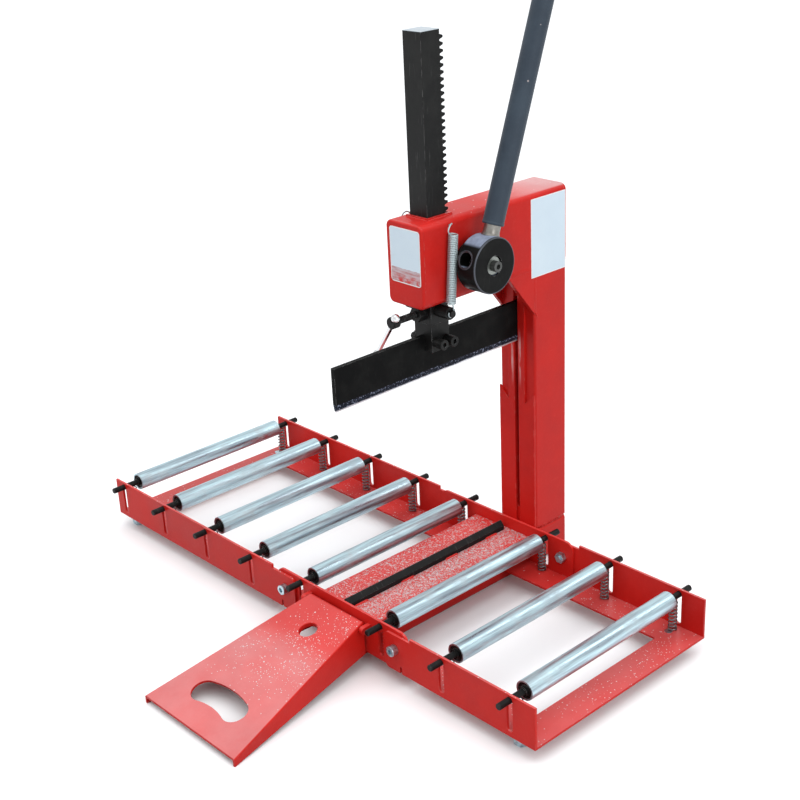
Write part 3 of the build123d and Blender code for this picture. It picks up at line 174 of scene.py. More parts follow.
# Linear colours
RED = (0.63, 0.016, 0.011, 1)
RED_DEEP = (0.53, 0.011, 0.008, 1)
RED_PALE = (0.7, 0.07, 0.055, 1)
RUBBED = (0.74, 0.36, 0.36, 1)
PRIMER = (0.66, 0.25, 0.22, 1)
# Pale film on what faces up, partly dust and partly a painted highlight; also marks on foam and labels
DUST_AND_PAINTED_HIGHLIGHT = (0.66, 0.56, 0.56, 1)
GRAIN = (0.62, 0.58, 0.58, 1)
GRAIN_DARK = (0.3, 0.24, 0.25, 1)
SMEAR = (0.52, 0.24, 0.24, 1)
BLACK = (0.0035, 0.0037, 0.0038, 1)
BLACK_WORN = (0.011, 0.0112, 0.0108, 1)
BLADE_GREY = (0.012, 0.016, 0.026, 1)
SKY_BLUE = (0.3, 0.35, 0.47, 1)
STEEL = (0.5, 0.5, 0.5, 1)
BRIGHT_STEEL = (0.72, 0.75, 0.78, 1)
ZINC = (0.32, 0.4, 0.46, 1)
ZINC_PALE = (0.57, 0.76, 0.82, 1)
FOAM = (0.024, 0.038, 0.057, 1)
FOAM_PALE = (0.038, 0.057, 0.08, 1)
LABEL = (0.76, 0.89, 0.98, 1)
LABEL_DEEP = (0.71, 0.84, 0.94, 1)
LABEL_EDGE = (0.92, 0.94, 0.95, 1)
FLOOR = (0.93, 0.93, 0.93, 1)
FLOOR_PALE = (0.95, 0.95, 0.95, 1)
FLOOR_BOUNCE = (0.34, 0.34, 0.34, 1)
SKY = (0.96, 0.98, 1.0, 1)
WHITE = (1, 1, 1, 1)


class Graph:
    """Shader nodes; most helpers return a socket that feeds another node."""

    def __init__(self, tree):
        self.nodes = tree.nodes
        self.links = tree.links

    def feed(self, socket, value):
        """Link another node's socket, or set a plain value."""
        if isinstance(value, bpy.types.NodeSocket):
            self.links.new(value, socket)
        else:
            socket.default_value = value

    def add(self, kind, feeds, **options):
        """Node of a kind, with its sockets fed and its options set."""
        node = self.nodes.new("ShaderNode" + kind)
        for option, value in options.items():
            setattr(node, option, value)
        for socket, value in feeds.items():
            self.feed(node.inputs[socket], value)
        return node

    def math(self, operation, first, second=0.0):
        return self.add("Math", {0: first, 1: second}, operation=operation).outputs[0]

    def times(self, first, *others):
        """Product of all the values."""
        for other in others:
            first = self.math("MULTIPLY", first, other)
        return first

    def most(self, first, *others):
        """Largest of the values."""
        for other in others:
            first = self.math("MAXIMUM", first, other)
        return first

    def least(self, first, *others):
        """Smallest of the values."""
        for other in others:
            first = self.math("MINIMUM", first, other)
        return first

    def spread(self, value, low, high):
        """Stretch a 0 to 1 value over a range."""
        return self.add("MapRange", {"Value": value, "To Min": low, "To Max": high}).outputs[0]

    def seen(self):
        """1 for what the camera sees, straight or in a mirror image, and 0 for what only lights."""
        path = self.add("LightPath", {}).outputs
        return self.most(path["Is Camera Ray"], path["Is Glossy Ray"], path["Is Transmission Ray"])


class Look(Graph):
    """Procedural material on one principled shader. Its lengths are in millimetres."""

    def __init__(self, name, **settings):
        self.material = bpy.data.materials.new(name)
        self.material.use_nodes = True
        super().__init__(self.material.node_tree)
        self.shader = self.nodes["Principled BSDF"]
        self.where = self.add("TexCoord", {}).outputs
        for socket, value in settings.items():
            self.shader.inputs[socket.replace("_", " ")].default_value = value

    def band(self, value, low, high):
        """0 below low, 1 above high and smooth between, or the reverse where low is the higher."""
        feeds = {"Value": value, "From Min": low, "From Max": high}
        return self.add("MapRange", feeds, interpolation_type="SMOOTHSTEP").outputs[0]

    def noise(self, scale, detail, stretch=(1, 1, 1)):
        """Cloudy 0 to 1 value; the scale is in waves per metre."""
        place = self.add("Mapping", {"Vector": self.where["Object"], "Scale": stretch}).outputs[0]
        feeds = {"Vector": place, "Scale": scale, "Detail": detail, "Roughness": 0.6}
        return self.add("TexNoise", feeds).outputs[0]

    def uneven(self, value, reach, scale, detail):
        """Value that wanders by up to the reach either way."""
        return self.math("ADD", value, self.spread(self.noise(scale, detail), -reach, reach))

    def specks(self, scale, size, share):
        """Scattered specks of uneven size in the given share of cells."""
        cells = self.add("TexVoronoi", {"Vector": self.where["Object"], "Scale": scale})
        chance = self.add("SeparateColor", {"Color": cells.outputs["Color"]}).outputs
        reach = self.times(cells.outputs["Distance"], self.spread(chance[1], 0.7, 1.9))
        near = self.band(reach, size, 0.6 * size)
        return self.times(near, self.math("LESS_THAN", chance[0], share))

    def mix(self, factor, first, second):
        """Colour between two, the second where the factor is 1."""
        node = self.add("Mix", {0: factor, 6: first, 7: second}, data_type="RGBA")
        return node.outputs[2]

    def along(self, axis):
        """Position along an axis."""
        place = self.add("SeparateXYZ", {0: self.where["Object"]}).outputs[axis]
        return self.times(place, 1000.0)

    def facing_up(self):
        """1 where the surface faces up at rest, and less on a slope."""
        return self.add("SeparateXYZ", {0: self.where["Normal"]}).outputs[Z]

    def rounded(self, radius):
        """Surface normal with the corners rounded."""
        return self.add("Bevel", {"Radius": radius / 1000}, samples=4).outputs[0]

    def edges(self, radius):
        """1 along the corners of the solid, fading over the radius."""
        flat = self.add("NewGeometry", {}).outputs["Normal"]
        both = self.add("VectorMath", {0: self.rounded(radius), 1: flat}, operation="DOT_PRODUCT")
        return self.band(both.outputs["Value"], 0.985, 0.86)

    def finish(self, colour, roughness, relief, depth, rounding):
        """Connect colour, roughness and a relief with rounded corners."""
        self.feed(self.shader.inputs["Base Color"], colour)
        self.feed(self.shader.inputs["Roughness"], roughness)
        normal = self.rounded(rounding)
        feeds = {"Strength": 0.6, "Distance": depth / 1000, "Height": relief, "Normal": normal}
        self.feed(self.shader.inputs["Normal"], self.add("Bump", feeds).outputs[0])
        return self


def red_paint(
    name,
    dust_and_painted_highlight_axis=X,
    dust_and_painted_highlight_from=(0.0, 0.03),
    dust_and_painted_highlight_to=(1000.0, 0.03),
    speckle=0.03,
    thin_out=None,
    rubble=False,
    runners=False,
    sheen=0.35,
):
    """Gloss paint with mottling and worn corners; tops carry a pale film, partly dust and partly a painted
    highlight that lightens what faces up, and specks and, on the bed, rubble.

    The film's cover changes along its axis from one (place, cover) pair to the other. Specks may thin
    out between two places on that axis. Runners are rubbed pale along the blade's tongue. Sheen is the
    gloss of what faces up."""
    look = Look(name, Specular_IOR_Level=0.2, Coat_Roughness=0.2)
    mottle = look.noise(9.0, 5.0)
    colour = look.mix(look.band(mottle, 0.35, 0.68), RED_DEEP, RED)
    fine = look.noise(320.0, 2.0)
    colour = look.mix(look.times(look.band(fine, 0.5, 0.8), 0.14), colour, RED_PALE)
    patchy = look.band(look.noise(70.0, 6.0), 0.5, 0.66)
    worn = look.times(look.edges(1.1), patchy)
    colour = look.mix(look.times(worn, 0.7), colour, PRIMER)
    scratches = look.band(look.noise(26.0, 8.0, (1, 1, 9)), 0.69, 0.74)
    colour = look.mix(look.times(scratches, 0.3), colour, RED_PALE)
    if runners:
        level = look.along(Z)
        stroke = look.times(look.band(level, *RUNNER_FOOT), look.band(level, *RUNNER_HEAD))
        beside = look.math("ABSOLUTE", look.along(X))
        off_runner = look.math("ABSOLUTE", look.math("SUBTRACT", beside, RUNNER_X))
        stripe = look.times(look.band(off_runner, *RUNNER_SIDE), stroke)
        streaks = look.band(look.noise(120.0, 6.0, (1, 1, 0.22)), 0.36, 0.56)
        colour = look.mix(look.times(stripe, streaks), colour, RUBBED)
    # The pale film on what faces up is partly dust and partly a painted highlight that lightens the tops
    top = look.band(look.facing_up(), 0.7, 0.93)
    place = look.along(dust_and_painted_highlight_axis)
    cover = look.spread(look.band(place, dust_and_painted_highlight_from[0], dust_and_painted_highlight_to[0]), dust_and_painted_highlight_from[1], dust_and_painted_highlight_to[1])
    cloud = look.spread(look.noise(16.0, 6.0), 0.4, 1.6)
    film = look.times(top, cover, cloud)
    colour = look.mix(film, colour, DUST_AND_PAINTED_HIGHLIGHT)
    cluster = look.times(look.band(look.noise(11.0, 3.0), 0.36, 0.66), speckle)
    if thin_out:
        cluster = look.times(cluster, look.band(place, *thin_out))
    crumbs = look.times(look.most(look.specks(560.0, 0.42, cluster), look.specks(190.0, 0.2, cluster)), top)
    colour = look.mix(crumbs, colour, GRAIN)
    relief = look.math("ADD", fine, crumbs)
    if rubble:
        beside = look.uneven(look.along(X), reach=12.0, scale=30.0, detail=5.0)
        right = look.times(look.band(beside, *RUBBLE_RIGHT), look.band(beside, *RUBBLE_LEFT))
        heap = look.times(look.math("ADD", look.times(right, 0.55), 0.4), top)
        grains = look.most(look.specks(420.0, 0.62, heap), look.specks(840.0, 0.6, heap))
        shade = look.mix(look.band(look.noise(240.0, 4.0), 0.3, 0.66), GRAIN_DARK, GRAIN)
        colour = look.mix(look.times(grains, 0.85), colour, shade)
        relief = look.math("ADD", relief, look.times(grains, 3.0))
    gloss = look.band(look.facing_up(), 0.2, 0.75)
    look.feed(look.shader.inputs["Coat Weight"], look.times(gloss, sheen))
    rough = look.most(look.times(film, 2.0), worn, mottle)
    return look.finish(colour, look.spread(rough, 0.22, 0.62), relief, depth=0.2, rounding=0.9)


def black_steel(
    name,
    shine,
    scuffs=0.05,
    gloss=0.0,
    grain=(1, 6, 1),
    edge=0.6,
    bevel_below=None,
    bare_above=None,
    painted_reflection_below=None,
):
    """Black oxide with paler rubbed corners, which the hub has wider, partly as a painted highlight; a
    blade has a ground bevel, the rack a sawn top, and the hub a painted reflection of the sky on the top of
    its rim."""
    look = Look(name, Specular_IOR_Level=shine)
    mottle = look.noise(30.0, 6.0)
    colour = look.mix(look.band(mottle, 0.4, 0.75), BLACK, BLACK_WORN)
    rubbed = look.times(look.edges(edge), look.band(look.noise(130.0, 5.0), 0.42, 0.6))
    colour = look.mix(look.times(rubbed, 0.4), colour, STEEL)
    marks = look.band(look.noise(55.0, 8.0, grain), 0.58, 0.74)
    colour = look.mix(look.times(marks, scuffs), colour, STEEL)
    bare = rubbed
    if bevel_below:
        level = look.along(Z)
        ground = look.band(level, bevel_below, bevel_below - 1.2)
        chips = look.most(look.specks(430.0, 0.5, 0.34), look.specks(900.0, 0.5, 0.3))
        colour = look.mix(ground, colour, look.mix(look.times(chips, 0.9), BLADE_GREY, SKY_BLUE))
        wavy = look.uneven(level, reach=1.1, scale=60.0, detail=5.0)
        honed = look.band(wavy, bevel_below - 7.4, bevel_below - 8.6)
        colour = look.mix(honed, colour, BRIGHT_STEEL)
        bare = look.most(rubbed, honed)
    if bare_above:
        sawn = look.band(look.along(Z), bare_above - 0.6, bare_above - 0.2)
        cut = look.noise(300.0, 3.0, (0.12, 1, 1))
        colour = look.mix(sawn, colour, look.mix(cut, ZINC, BRIGHT_STEEL))
        bare = look.most(bare, look.times(sawn, 0.6))
    # Painted reflection of the sky on the top of the hub's rim, where the surface faces up in the world
    if painted_reflection_below:
        normal = look.add("NewGeometry", {}).outputs["Normal"]
        upward = look.add("SeparateXYZ", {0: normal}).outputs[Z]
        cloud = look.spread(look.noise(140.0, 4.0), 0.3, 1.1)
        beside = look.band(look.along(X), painted_reflection_below, painted_reflection_below - 1.2)
        painted_reflection = look.times(look.band(upward, 0.74, 0.84), cloud, beside)
        colour = look.mix(painted_reflection, colour, SKY_BLUE)
    look.feed(look.shader.inputs["Metallic"], look.times(bare, 0.9))
    roughness = look.spread(mottle, 0.36 - gloss, 0.58 - gloss)
    return look.finish(colour, roughness, look.noise(420.0, 3.0), depth=0.12, rounding=0.6)


def zinc_plate(name, streak=(1, 0.05, 1)):
    """Bluish plated metal, streaked along its length, with dull patches."""
    look = Look(name, Metallic=1.0)
    drawn = look.noise(260.0, 3.0, streak)
    cloud = look.noise(24.0, 6.0)
    colour = look.mix(look.band(drawn, 0.3, 0.7), ZINC, ZINC_PALE)
    dull = look.band(cloud, 0.5, 0.72)
    colour = look.mix(look.times(dull, 0.4), colour, STEEL)
    roughness = look.spread(look.math("ADD", drawn, dull), 0.16, 0.52)
    return look.finish(colour, roughness, drawn, depth=0.04, rounding=0.5)


def bright_metal(name, dark, pale, rough, metal=1.0):
    """Polished or plated metal with faint smears between two colours and two roughnesses."""
    look = Look(name, Metallic=metal)
    smears = look.noise(90.0, 5.0)
    colour = look.mix(smears, dark, pale)
    roughness = look.spread(smears, *rough)
    return look.finish(colour, roughness, look.noise(500.0, 2.0), depth=0.03, rounding=0.3)


def foam(name):
    """Closed-cell foam: matt and pitted, with rubbed patches."""
    look = Look(name, Specular_IOR_Level=0.35, Sheen_Weight=0.08, Sheen_Roughness=0.5)
    pits = look.noise(620.0, 3.0)
    patch = look.noise(18.0, 5.0)
    colour = look.mix(look.band(patch, 0.35, 0.7), FOAM, FOAM_PALE)
    nicks = look.specks(120.0, 0.16, 0.05)
    colour = look.mix(look.times(nicks, 0.5), colour, DUST_AND_PAINTED_HIGHLIGHT)
    roughness = look.spread(patch, 0.5, 0.72)
    return look.finish(colour, roughness, look.math("SUBTRACT", pits, nicks), depth=0.25, rounding=0.8)


def label_film(name, axis, corners, smear_below=None):
    """Blank printed film with a white border, handling marks and grubby edges; low down it is rubbed."""
    look = Look(name, Specular_IOR_Level=0.35)
    (left, low), (right, high) = corners
    level = look.along(Z)
    place = look.along(axis)
    from_left = look.math("SUBTRACT", place, left)
    from_right = look.math("SUBTRACT", right, place)
    from_low = look.math("SUBTRACT", level, low)
    from_high = look.math("SUBTRACT", high, level)
    inset = look.least(from_left, from_right, from_low, from_high)
    cloud = look.noise(20.0, 5.0)
    colour = look.mix(look.band(cloud, 0.3, 0.75), LABEL_DEEP, LABEL)
    marks = look.band(look.noise(45.0, 8.0, (1, 1, 5)), 0.64, 0.74)
    colour = look.mix(look.times(marks, 0.16), colour, DUST_AND_PAINTED_HIGHLIGHT)
    if smear_below:
        wavy = look.uneven(level, reach=1.6, scale=90.0, detail=6.0)
        rubbed = look.band(wavy, smear_below + 0.5, smear_below - 0.5)
        streaks = look.band(look.noise(60.0, 7.0, (1, 1, 7)), 0.36, 0.62)
        deep = look.band(level, smear_below - 4.0, low + 2.0)
        bare = look.times(deep, look.band(look.noise(150.0, 8.0), 0.36, 0.6))
        smear = look.mix(bare, look.mix(streaks, SMEAR, look.mix(0.45, SMEAR, LABEL)), RED)
        colour = look.mix(rubbed, colour, smear)
    colour = look.mix(look.band(inset, 1.4, 1.0), colour, LABEL_EDGE)
    ragged = look.uneven(inset, reach=1.6, scale=170.0, detail=7.0)
    colour = look.mix(look.times(look.band(ragged, 0.3, -0.5), 0.55), colour, SMEAR)
    roughness = look.spread(look.math("ADD", cloud, marks), 0.32, 0.6)
    return look.finish(colour, roughness, look.noise(60.0, 3.0), depth=0.1, rounding=0.2)


paint = red_paint("paint")
guide_paint = red_paint("paint_guides", runners=True)
# The pale tops of the head and the step are partly dust and partly a painted highlight
head_paint = red_paint("paint_head", Y, dust_and_painted_highlight_from=(100.0, 0.01), dust_and_painted_highlight_to=(220.0, 0.5), sheen=0.05)
step_paint = red_paint(
    "paint_step",
    Y,
    dust_and_painted_highlight_from=(-200.0, 0.05),
    dust_and_painted_highlight_to=(-250.0, 0.25),
    speckle=0.42,
    thin_out=(-345.0, -215.0),
)
bed_paint = red_paint("paint_bed", rubble=True)
table_paint = red_paint("paint_table", X, dust_and_painted_highlight_from=(0.0, 0.06), dust_and_painted_highlight_to=(300.0, 0.12), speckle=0.2)
oxide = black_steel("black_oxide", 0.18)
rack_steel = black_steel("rack_steel", 0.2, scuffs=0.06, grain=(6, 6, 0.6), bare_above=RACK_TOP)
# The hub's rubbed corners are widened into a painted highlight, and the top of its rim carries a painted
# reflection of the sky
rim_inner = HUB_FACE - RIM_INSET
hub_steel = black_steel("hub_steel", 0.075, scuffs=0.015, gloss=0.12, edge=1.3, painted_reflection_below=rim_inner)
bevel_top = UPPER_BLADE_EDGE + BEVEL_HEIGHT
blade_steel = black_steel("blade_steel", 0.045, scuffs=0.015, gloss=0.04, bevel_below=bevel_top)
roller_zinc = zinc_plate("roller_zinc")
bolt_zinc = zinc_plate("bolt_zinc", streak=(1, 1, 1))
socket_steel = bright_metal("socket_steel", (0.02, 0.022, 0.03, 1), (0.09, 0.1, 0.12, 1), (0.3, 0.45), 0.6)
# Lighter steel of the hub's turned edge, partly a painted highlight
painted_highlight_edge_steel = bright_metal("painted_highlight_edge_steel", (0.03, 0.033, 0.04, 1), (0.12, 0.13, 0.155, 1), (0.3, 0.5), 0.7)
neck_steel = bright_metal("neck_steel", (0.07, 0.06, 0.05, 1), (0.42, 0.41, 0.38, 1), (0.25, 0.5), 0.8)
washer_steel = bright_metal("washer_steel", (0.2, 0.22, 0.2, 1), (0.34, 0.36, 0.34, 1), (0.3, 0.5), 0.8)
screw_steel = bright_metal("screw_steel", (0.03, 0.03, 0.03, 1), (0.14, 0.145, 0.14, 1), (0.35, 0.55), 0.7)
spring_bright = bright_metal(
    "spring_bright", (0.42, 0.5, 0.52, 1), (0.56, 0.66, 0.68, 1), (0.3, 0.45), 0.55
)
spring_dark = bright_metal("spring_dark", (0.12, 0.125, 0.13, 1), (0.34, 0.35, 0.36, 1), (0.25, 0.45))
chrome = bright_metal("chrome", (0.6, 0.61, 0.62, 1), (0.74, 0.75, 0.76, 1), (0.08, 0.2))
grip_foam = foam("grip_foam")
front_film = label_film("front_film", X, FRONT_LABEL, smear_below=FRONT_SMEAR_TOP)
side_film = label_film("side_film", Y, SIDE_LABEL)


def dress(look, names):
    """Give nodes a look."""
    for name in names.split():
        slots = frame["nodes"][name].data.materials
        slots.clear()
        slots.append(look.material)


dress(paint, "lower_arm arm_end_cap column gusset_plates rack_sleeve head_front_cap")
dress(paint, "tray_front_rail tray_rear_rail step_lugs step_hinge_pin")
dress(guide_paint, "blade_guides")
dress(head_paint, "head_beam head_rear_cap")
dress(bed_paint, "bed_plate")
dress(table_paint, "left_table right_table")
dress(step_paint, "step_plate")
dress(oxide, "lower_blade blade_bolts blade_nuts blade_fork clamp_boss clamp_screw spring_posts")
dress(oxide, "drive_pinion drive_shaft shaft_bushes retaining_ring")
dress(rack_steel, "rack_bar")
dress(hub_steel, "lever_hub")
dress(blade_steel, "upper_blade")
dress(bolt_zinc, "hinge_bolts hinge_nuts left_feet right_feet")
dress(washer_steel, "hub_washer")
dress(screw_steel, "hub_screw")
dress(neck_steel, "lever_rod")
dress(chrome, "tommy_bar")
dress(grip_foam, "foam_grip")
dress(spring_bright, "return_springs")
dress(spring_dark, "left_springs centre_springs right_springs")
for number in ROLLERS:
    dress(oxide, f"axle_{number}")
    dress(roller_zinc, f"roller_{number}")


def piece(name, points, faces, look, slot, sharp=40.0):
    """Closed mesh object from points in millimetres."""
    mesh = bpy.data.meshes.new(name)
    mesh.from_pydata([metres(point) for point in points], [], faces)
    shell = bmesh.new()
    shell.from_mesh(mesh)
    bmesh.ops.recalc_face_normals(shell, faces=shell.faces)
    shell.to_mesh(mesh)
    shell.free()
    mesh.materials.append(look.material)
    mesh.shade_smooth()
    mesh.set_sharp_from_angle(angle=math.radians(sharp))
    thing = bpy.data.objects.new(name, mesh)
    bpy.context.scene.collection.objects.link(thing)
    return thing


def swept(path, radii, sides):
    """Closed round tube along a path; the radius may change from point to point."""
    points = []
    faces = []
    heading = (path[1] - path[0]).normalized()
    side = heading.orthogonal().normalized()
    for i, centre in enumerate(path):
        before = path[max(i - 1, 0)]
        after = path[min(i + 1, len(path) - 1)]
        heading = (after - before).normalized()
        side = (side - heading * side.dot(heading)).normalized()
        across = heading.cross(side)
        for k in range(sides):
            angle = 2 * math.pi * k / sides
            points.append(centre + radii[i] * (math.cos(angle) * side + math.sin(angle) * across))
    for i in range(len(path) - 1):
        for k in range(sides):
            a = i * sides + k
            b = i * sides + (k + 1) % sides
            faces.append((a, b, b + sides, a + sides))
    faces.append(tuple(reversed(range(sides))))
    faces.append(tuple(range((len(path) - 1) * sides, len(path) * sides)))
    return points, faces


def turned(profile, base, axis, segments=40):
    """Closed ring turned about an axis from a loop of (radius, distance along) pairs."""
    axis = axis.normalized()
    side = axis.orthogonal().normalized()
    across = axis.cross(side)
    points = []
    faces = []
    count = len(profile)
    for k in range(segments):
        angle = 2 * math.pi * k / segments
        spoke = math.cos(angle) * side + math.sin(angle) * across
        points += [base + spoke * radius + axis * distance for radius, distance in profile]
    for k in range(segments):
        row = k * count
        next_row = (k + 1) % segments * count
        for j in range(count):
            after = (j + 1) % count
            faces.append((row + j, next_row + j, next_row + after, row + after))
    return points, faces


def merged(shapes):
    """Join several (points, faces) shapes into one."""
    points = []
    faces = []
    for shape_points, shape_faces in shapes:
        start = len(points)
        points += shape_points
        faces += [tuple(start + i for i in face) for face in shape_faces]
    return points, faces


def helix(base, axis, radius, heights, turns, per_turn=20, start=0.0):
    """Points of a wound wire; heights maps 0 to 1 along it to distance along the axis."""
    axis = axis.normalized()
    side = Vector((1, 0, 0)) if abs(axis.x) < 0.9 else Vector((0, 1, 0))
    side = (side - axis * side.dot(axis)).normalized()
    across = axis.cross(side)
    path = []
    count = int(turns * per_turn)
    for i in range(count + 1):
        angle = math.radians(start) + 2 * math.pi * turns * i / count
        spoke = math.cos(angle) * side + math.sin(angle) * across
        path.append(base + axis * heights(i / count) + spoke * radius)
    return path


def eased(corners, count):
    """Smooth curve through a few points, with a count of steps from each to the next."""
    path = []
    padded = [corners[0] * 2 - corners[1]] + corners + [corners[-1] * 2 - corners[-2]]
    for a, b, c, d in zip(padded, padded[1:], padded[2:], padded[3:]):
        for i in range(count):
            t = i / count
            bend = (c - a) * t + (2 * a - 5 * b + 4 * c - d) * t**2 + (3 * b - a - 3 * c + d) * t**3
            path.append(b + 0.5 * bend)
    return path + [corners[-1]]


# Hooks at the top of the return springs, from inside the head to the first turn, as on the right
TOP_HOOKS = {
    1: (
        (25.5, 30.0, 508.0), (30.2, 30.0, 508.0), (33.2, 31.0, 509.8), (35.6, 28.0, 511.0),
        (37.4, 23.4, 509.2), (38.0, 20.6, 505.4), (37.4, 21.6, 501.8),
    ),
    -1: (
        (25.5, 30.0, 508.0), (30.4, 30.0, 508.4), (33.6, 28.0, 512.4), (35.0, 22.7, 514.9),
        (36.2, 17.8, 511.5), (37.2, 18.4, 505.4),
    ),
}
# Hook round the neck of the post, as (y, z) from its centre
POST_EYE = (
    (2.2, 11.0), (3.7, 6.5), (4.0, 2.0), (3.9, -0.6), (2.9, -2.9), (0.0, -4.1), (-2.9, -2.9),
    (-4.0, 0.0), (-3.5, 2.2),
)


def return_spring(name, side):
    """Close-wound tension spring with a hook at each end."""
    down = RETURN_FOOT - RETURN_TOP
    coil = helix(RETURN_TOP, down, RETURN_COIL_R, lambda t: down.length * t, RETURN_TURNS, start=90.0)
    hook = [Vector(p) for p in TOP_HOOKS[side]]
    eye = [Vector((RETURN_X, POST_Y + y, POST_Z + z)) for y, z in POST_EYE]
    shared = 3
    path = eased(hook + coil[:shared], 8) + coil[shared:-shared] + eased(coil[-shared:] + eye, 8)
    path = [mirrored(p, side) for p in path]
    wire = swept(path, [RETURN_WIRE_R] * len(path), sides=8)
    thing = piece(name, *wire, spring_bright, "spring_steel")
    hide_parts("return_springs")
    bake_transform(thing)


return_spring("return_spring_left", -1)
return_spring("return_spring_right", 1)


def coil_heights(t):
    """Height along a compression spring with closed end turns."""
    reach = SPRING_TOP - SPRING_FOOT - ROLLER_WIRE
    if t < CLOSED_SHARE:
        return 0.5 * ROLLER_WIRE + ROLLER_WIRE * t / CLOSED_SHARE
    if t > 1 - CLOSED_SHARE:
        return 0.5 * ROLLER_WIRE + reach - ROLLER_WIRE * (1 - t) / CLOSED_SHARE
    open_share = (t - CLOSED_SHARE) / (1 - 2 * CLOSED_SHARE)
    return 1.5 * ROLLER_WIRE + (reach - 2 * ROLLER_WIRE) * open_share


# Springs under the ends of the roller axles
for number in ROLLERS:
    slide = joints[f"axle_{number}_slide"]
    group = slide["deforming_nodes"][0]["node"]
    x = pivot(f"roller_{number}_spin").x
    for end, word in ((-1, "front"), (1, "rear")):
        base = Vector((x, end * SPRING_Y, SPRING_FOOT))
        path = helix(base, Vector((0, 0, 1)), ROLLER_COIL_R, coil_heights, ROLLER_TURNS)
        coil = swept(path, [ROLLER_WIRE / 2] * len(path), sides=8)
        thing = piece(f"roller_spring_{number}_{word}", *coil, spring_dark, "spring_steel")
        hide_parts(group)
        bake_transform(thing)


# Bearing seals in the roller ends
seal = [(4.4, 0), (4.4, 0.9), (6.0, 0.9), (6.4, 0.4), (8.5, 0.4), (8.9, 1.0), (9.8, 1.0), (9.8, 0)]
for number in ROLLERS:
    centre = pivot(f"roller_{number}_spin")
    ends = []
    for end in (-1, 1):
        outward = Vector((0, end, 0))
        ends.append(turned(seal, centre + (ROLLER_HALF - BEARING_RECESS) * outward, outward))
    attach(piece(f"bearing_seals_{number}", *merged(ends), oxide, "black_steel"), f"roller_body_{number}")


def thread(base, axis, radius, length, pitch):
    """Ridge of a screw thread, with tapered ends."""
    ridge = 0.45
    sink = 0.1
    path = helix(base, axis, radius - sink, lambda t: length * t, length / pitch, per_turn=18)
    last = len(path) - 1
    radii = [ridge * min(1.0, 0.2 + min(i, last - i) / 10) for i in range(len(path))]
    return swept(path, radii, sides=6)


# Thread of the clamp screw between its head and the boss
base = Vector((0, CLAMP_BOSS_FRONT - CLAMP_BOSS_GAP, CLAMP_Z))
length = base.y - (CLAMP_FRONT + CLAMP_HEAD_LENGTH + CLAMP_HEAD_GAP)
ridge = thread(base, Vector((0, -1, 0)), CLAMP_THREAD_R, length, CLAMP_PITCH)
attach(piece("clamp_thread", *ridge, oxide, "black_steel"), "clamp")

# Threads of the levelling feet
for carrier, feet in (("left_side", "left_feet"), ("right_side", "right_feet")):
    ridges = []
    for end in (-1, 1):
        base = Vector((middle(feet, X), end * FOOT_Y, FOOT_THREAD_LOW))
        ridges.append(thread(base, Vector((0, 0, 1)), FOOT_THREAD_R, FOOT_THREAD_LENGTH, FOOT_PITCH))
    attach(piece(f"foot_threads_{carrier}", *merged(ridges), bolt_zinc, "zinc"), carrier)


def socket_way(quarters):
    """Direction of a socket of the hub, in quarter turns from the lever's own."""
    angle = LEVER_LEAN + quarters * math.pi / 2
    return Vector((0, math.sin(angle), math.cos(angle)))


# Worn neck of the lever between the hub and the grip
neck = [
    (9.05, 32.0), (11.2, 32.0), (11.5, 33.0), (10.4, 35.2), (9.9, 38.4), (9.9, 42.0), (10.2, 45.8),
    (9.05, 45.8),
]
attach(piece("lever_neck", *turned(neck, HUB_CENTRE, socket_way(0)), neck_steel, "zinc"), "lever")

# Rolled foot of the grip
foot = [(9.6, -0.1), (11.9, -0.3), (12.9, 0.3), (13.3, 1.5), (13.0, 2.9), (12.5, 3.6), (9.6, 3.6)]
roll = turned(foot, HUB_CENTRE + GRIP_FOOT * socket_way(0), socket_way(0))
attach(piece("grip_foot", *roll, grip_foam, "grip_foam"), "lever")

# Turned rims of the hub's other sockets
rim = [(9.15, -0.4), (9.15, 0.1), (9.7, 0.45), (11.0, 0.45), (11.5, 0.1), (11.5, -0.4)]
rims = []
for quarters in (1, 2, 3):
    way = socket_way(quarters)
    rims.append(turned(rim, HUB_CENTRE + (HUB_RADIUS - SPOT_FACE) * way, way))
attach(piece("socket_rims", *merged(rims), socket_steel, "black_steel"), "lever")

# Turned edge round the hub's face in lighter steel, partly bare metal and partly a painted highlight along
# the chamfer
edge = [(-1.6, -0.2), (-1.6, 0.05), (-1.0, 0.12), (-0.45, -0.2), (-0.1, -0.75), (-0.02, -1.2), (-0.5, -1.2)]
edge = [(HUB_RADIUS + out, along) for out, along in edge]
face_centre = Vector((HUB_FACE, HUB_CENTRE.y, HUB_CENTRE.z))
ring = turned(edge, face_centre, Vector((1, 0, 0)), segments=96)
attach(piece("hub_edge", *ring, painted_highlight_edge_steel, "black_steel"), "lever")


def bead(start, end, radius):
    """Run of weld with uneven ripples and tapered ends."""
    pitch = 2.6
    steps_per_ripple = 6
    ripple_depth = 0.13
    wobble = 0.04
    length = (end - start).length
    count = max(8, int(length / pitch * steps_per_ripple))
    path = []
    radii = []
    for i in range(count + 1):
        t = i / count
        ripple = 1 + ripple_depth * math.cos(2 * math.pi * length * t / pitch)
        taper = min(1.0, 0.35 + 6 * min(t, 1 - t))
        wander = Vector([random.uniform(-wobble, wobble) * radius for _ in range(3)])
        path.append(start.lerp(end, t) + wander)
        radii.append(radius * ripple * taper)
    return swept(path, radii, sides=10)


def weld(start, end, radius):
    """Run of weld on each side of the frame."""
    return [bead(mirrored(Vector(start), side), mirrored(Vector(end), side), radius) for side in (-1, 1)]


